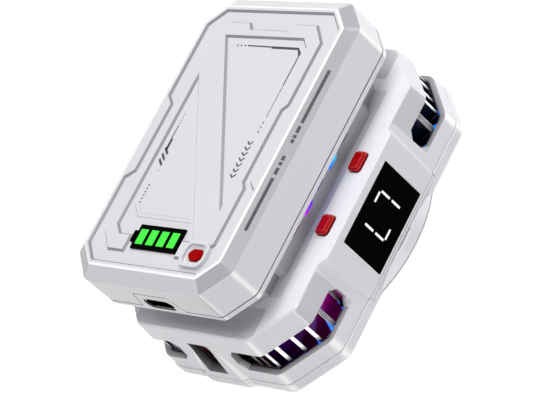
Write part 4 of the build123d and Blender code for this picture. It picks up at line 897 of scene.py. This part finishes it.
def shown_ray(tree):
    """1 for rays that show the background: from the camera, in a mirror or through glass."""
    path = add(tree, "LightPath")
    clear = add(tree, "Math", {"operation": "MAXIMUM"},
                {0: path.outputs["Is Camera Ray"], 1: path.outputs["Is Transmission Ray"]})
    return add(tree, "Math", {"operation": "MAXIMUM"}, {0: clear, 1: path.outputs["Is Glossy Ray"]})


def studio_paper(name):
    """White background paper. It shows white, and its own shading keeps the object's shadow on it. Far out,
    where the lamps fade, it shows by itself."""
    material, tree, shader = blank(name, Roughness=0.9, Base_Color=linear("#f2f2f3"))
    from_middle = add(tree, "VectorMath", {"operation": "LENGTH"},
                      {0: add(tree, "TexCoord").outputs["Object"]}).outputs["Value"]
    whiter = add(tree, "MapRange", {"From Min": 0.15, "From Max": 0.6, "To Min": 0.55, "To Max": 1.0},
                 {"Value": from_middle})
    glow = add(tree, "Emission", {"Color": (1, 1, 1, 1)}, {"Strength": whiter})
    both = add(tree, "AddShader", None, {0: shader, 1: glow})
    chosen = add(tree, "MixShader", None, {0: shown_ray(tree), 1: shader, 2: both})
    join(tree, find(tree, "OUTPUT_MATERIAL"), Surface=chosen)
    return material


FLOOR_HALF = 3.0
floor_mesh = bpy.data.meshes.new("floor")
floor_mesh.from_pydata([(x * FLOOR_HALF, y * FLOOR_HALF, 0) for x, y in [(-1, -1), (1, -1), (1, 1), (-1, 1)]],
                       [], [(0, 1, 2, 3)])
floor_mesh.materials.append(studio_paper("studio_paper_white"))
floor = bpy.data.objects.new("floor", floor_mesh)
bpy.context.scene.collection.objects.link(floor)

# The world lights the object a little, and shows white
AMBIENT = 0.047
world = bpy.data.worlds.new("studio")
bpy.context.scene.world = world
world.use_nodes = True
sky = world.node_tree
sky.nodes.clear()
dim = add(sky, "Background", {"Color": (1, 1, 1, 1), "Strength": AMBIENT})
white = add(sky, "Background", {"Color": (1, 1, 1, 1), "Strength": 1.0})
blend = add(sky, "MixShader", None, {0: shown_ray(sky), 1: dim, 2: white})
add(sky, "OutputWorld", None, {"Surface": blend})

# Square lamps of one size, all as far from the middle of the object. Sizes are in metres
LAMP_AIM = Vector((0, 0, 0.018))
LAMP_SIZE = 0.4
LAMP_DISTANCE = 0.8


def softbox(name, direction, power):
    """A square studio lamp in a direction from the object, pointed at it."""
    lamp = bpy.data.lights.new(name, "AREA")
    lamp.shape = "SQUARE"
    lamp.size = LAMP_SIZE
    lamp.energy = power
    holder = bpy.data.objects.new(name, lamp)
    holder.location = LAMP_AIM + Vector(direction).normalized() * LAMP_DISTANCE
    holder.rotation_euler = (LAMP_AIM - holder.location).to_track_quat("-Z", "Y").to_euler()
    bpy.context.scene.collection.objects.link(holder)


softbox("right_high", (0.7, -0.2, 0.7), 3.33)
softbox("front_high", (0.0, -0.45, 0.89), 3.86)
softbox("left_low", (-0.95, 0.0, 0.3), 1.72)
softbox("behind", (-0.12, 0.73, 0.68), 1.05)

# The camera fitted to the photograph: its focal length in pixels of a picture 550 wide, its place in metres
# and the directions of its right, its top and its back
FOCAL_PIXELS = 2722.4
PICTURE_WIDTH = 550
SENSOR_WIDTH = 36.0
CAMERA_PLACE = (-0.18944, -0.43398, 0.3676)
CAMERA_AXES = (Vector((0.4402, -0.6737, -0.5936)), Vector((0.8393, 0.0738, 0.5387)),
               Vector((-0.3191, -0.7353, 0.5979)))
lens = bpy.data.cameras.new("camera")
lens.sensor_width = SENSOR_WIDTH
lens.lens = FOCAL_PIXELS * SENSOR_WIDTH / PICTURE_WIDTH
lens.clip_end = 10.0
camera = bpy.data.objects.new("camera", lens)
bpy.context.scene.collection.objects.link(camera)
camera.matrix_world = Matrix.Translation(CAMERA_PLACE) @ Matrix(CAMERA_AXES).transposed().to_4x4()
bpy.context.scene.camera = camera
bpy.context.scene.view_settings.view_transform = "Standard"
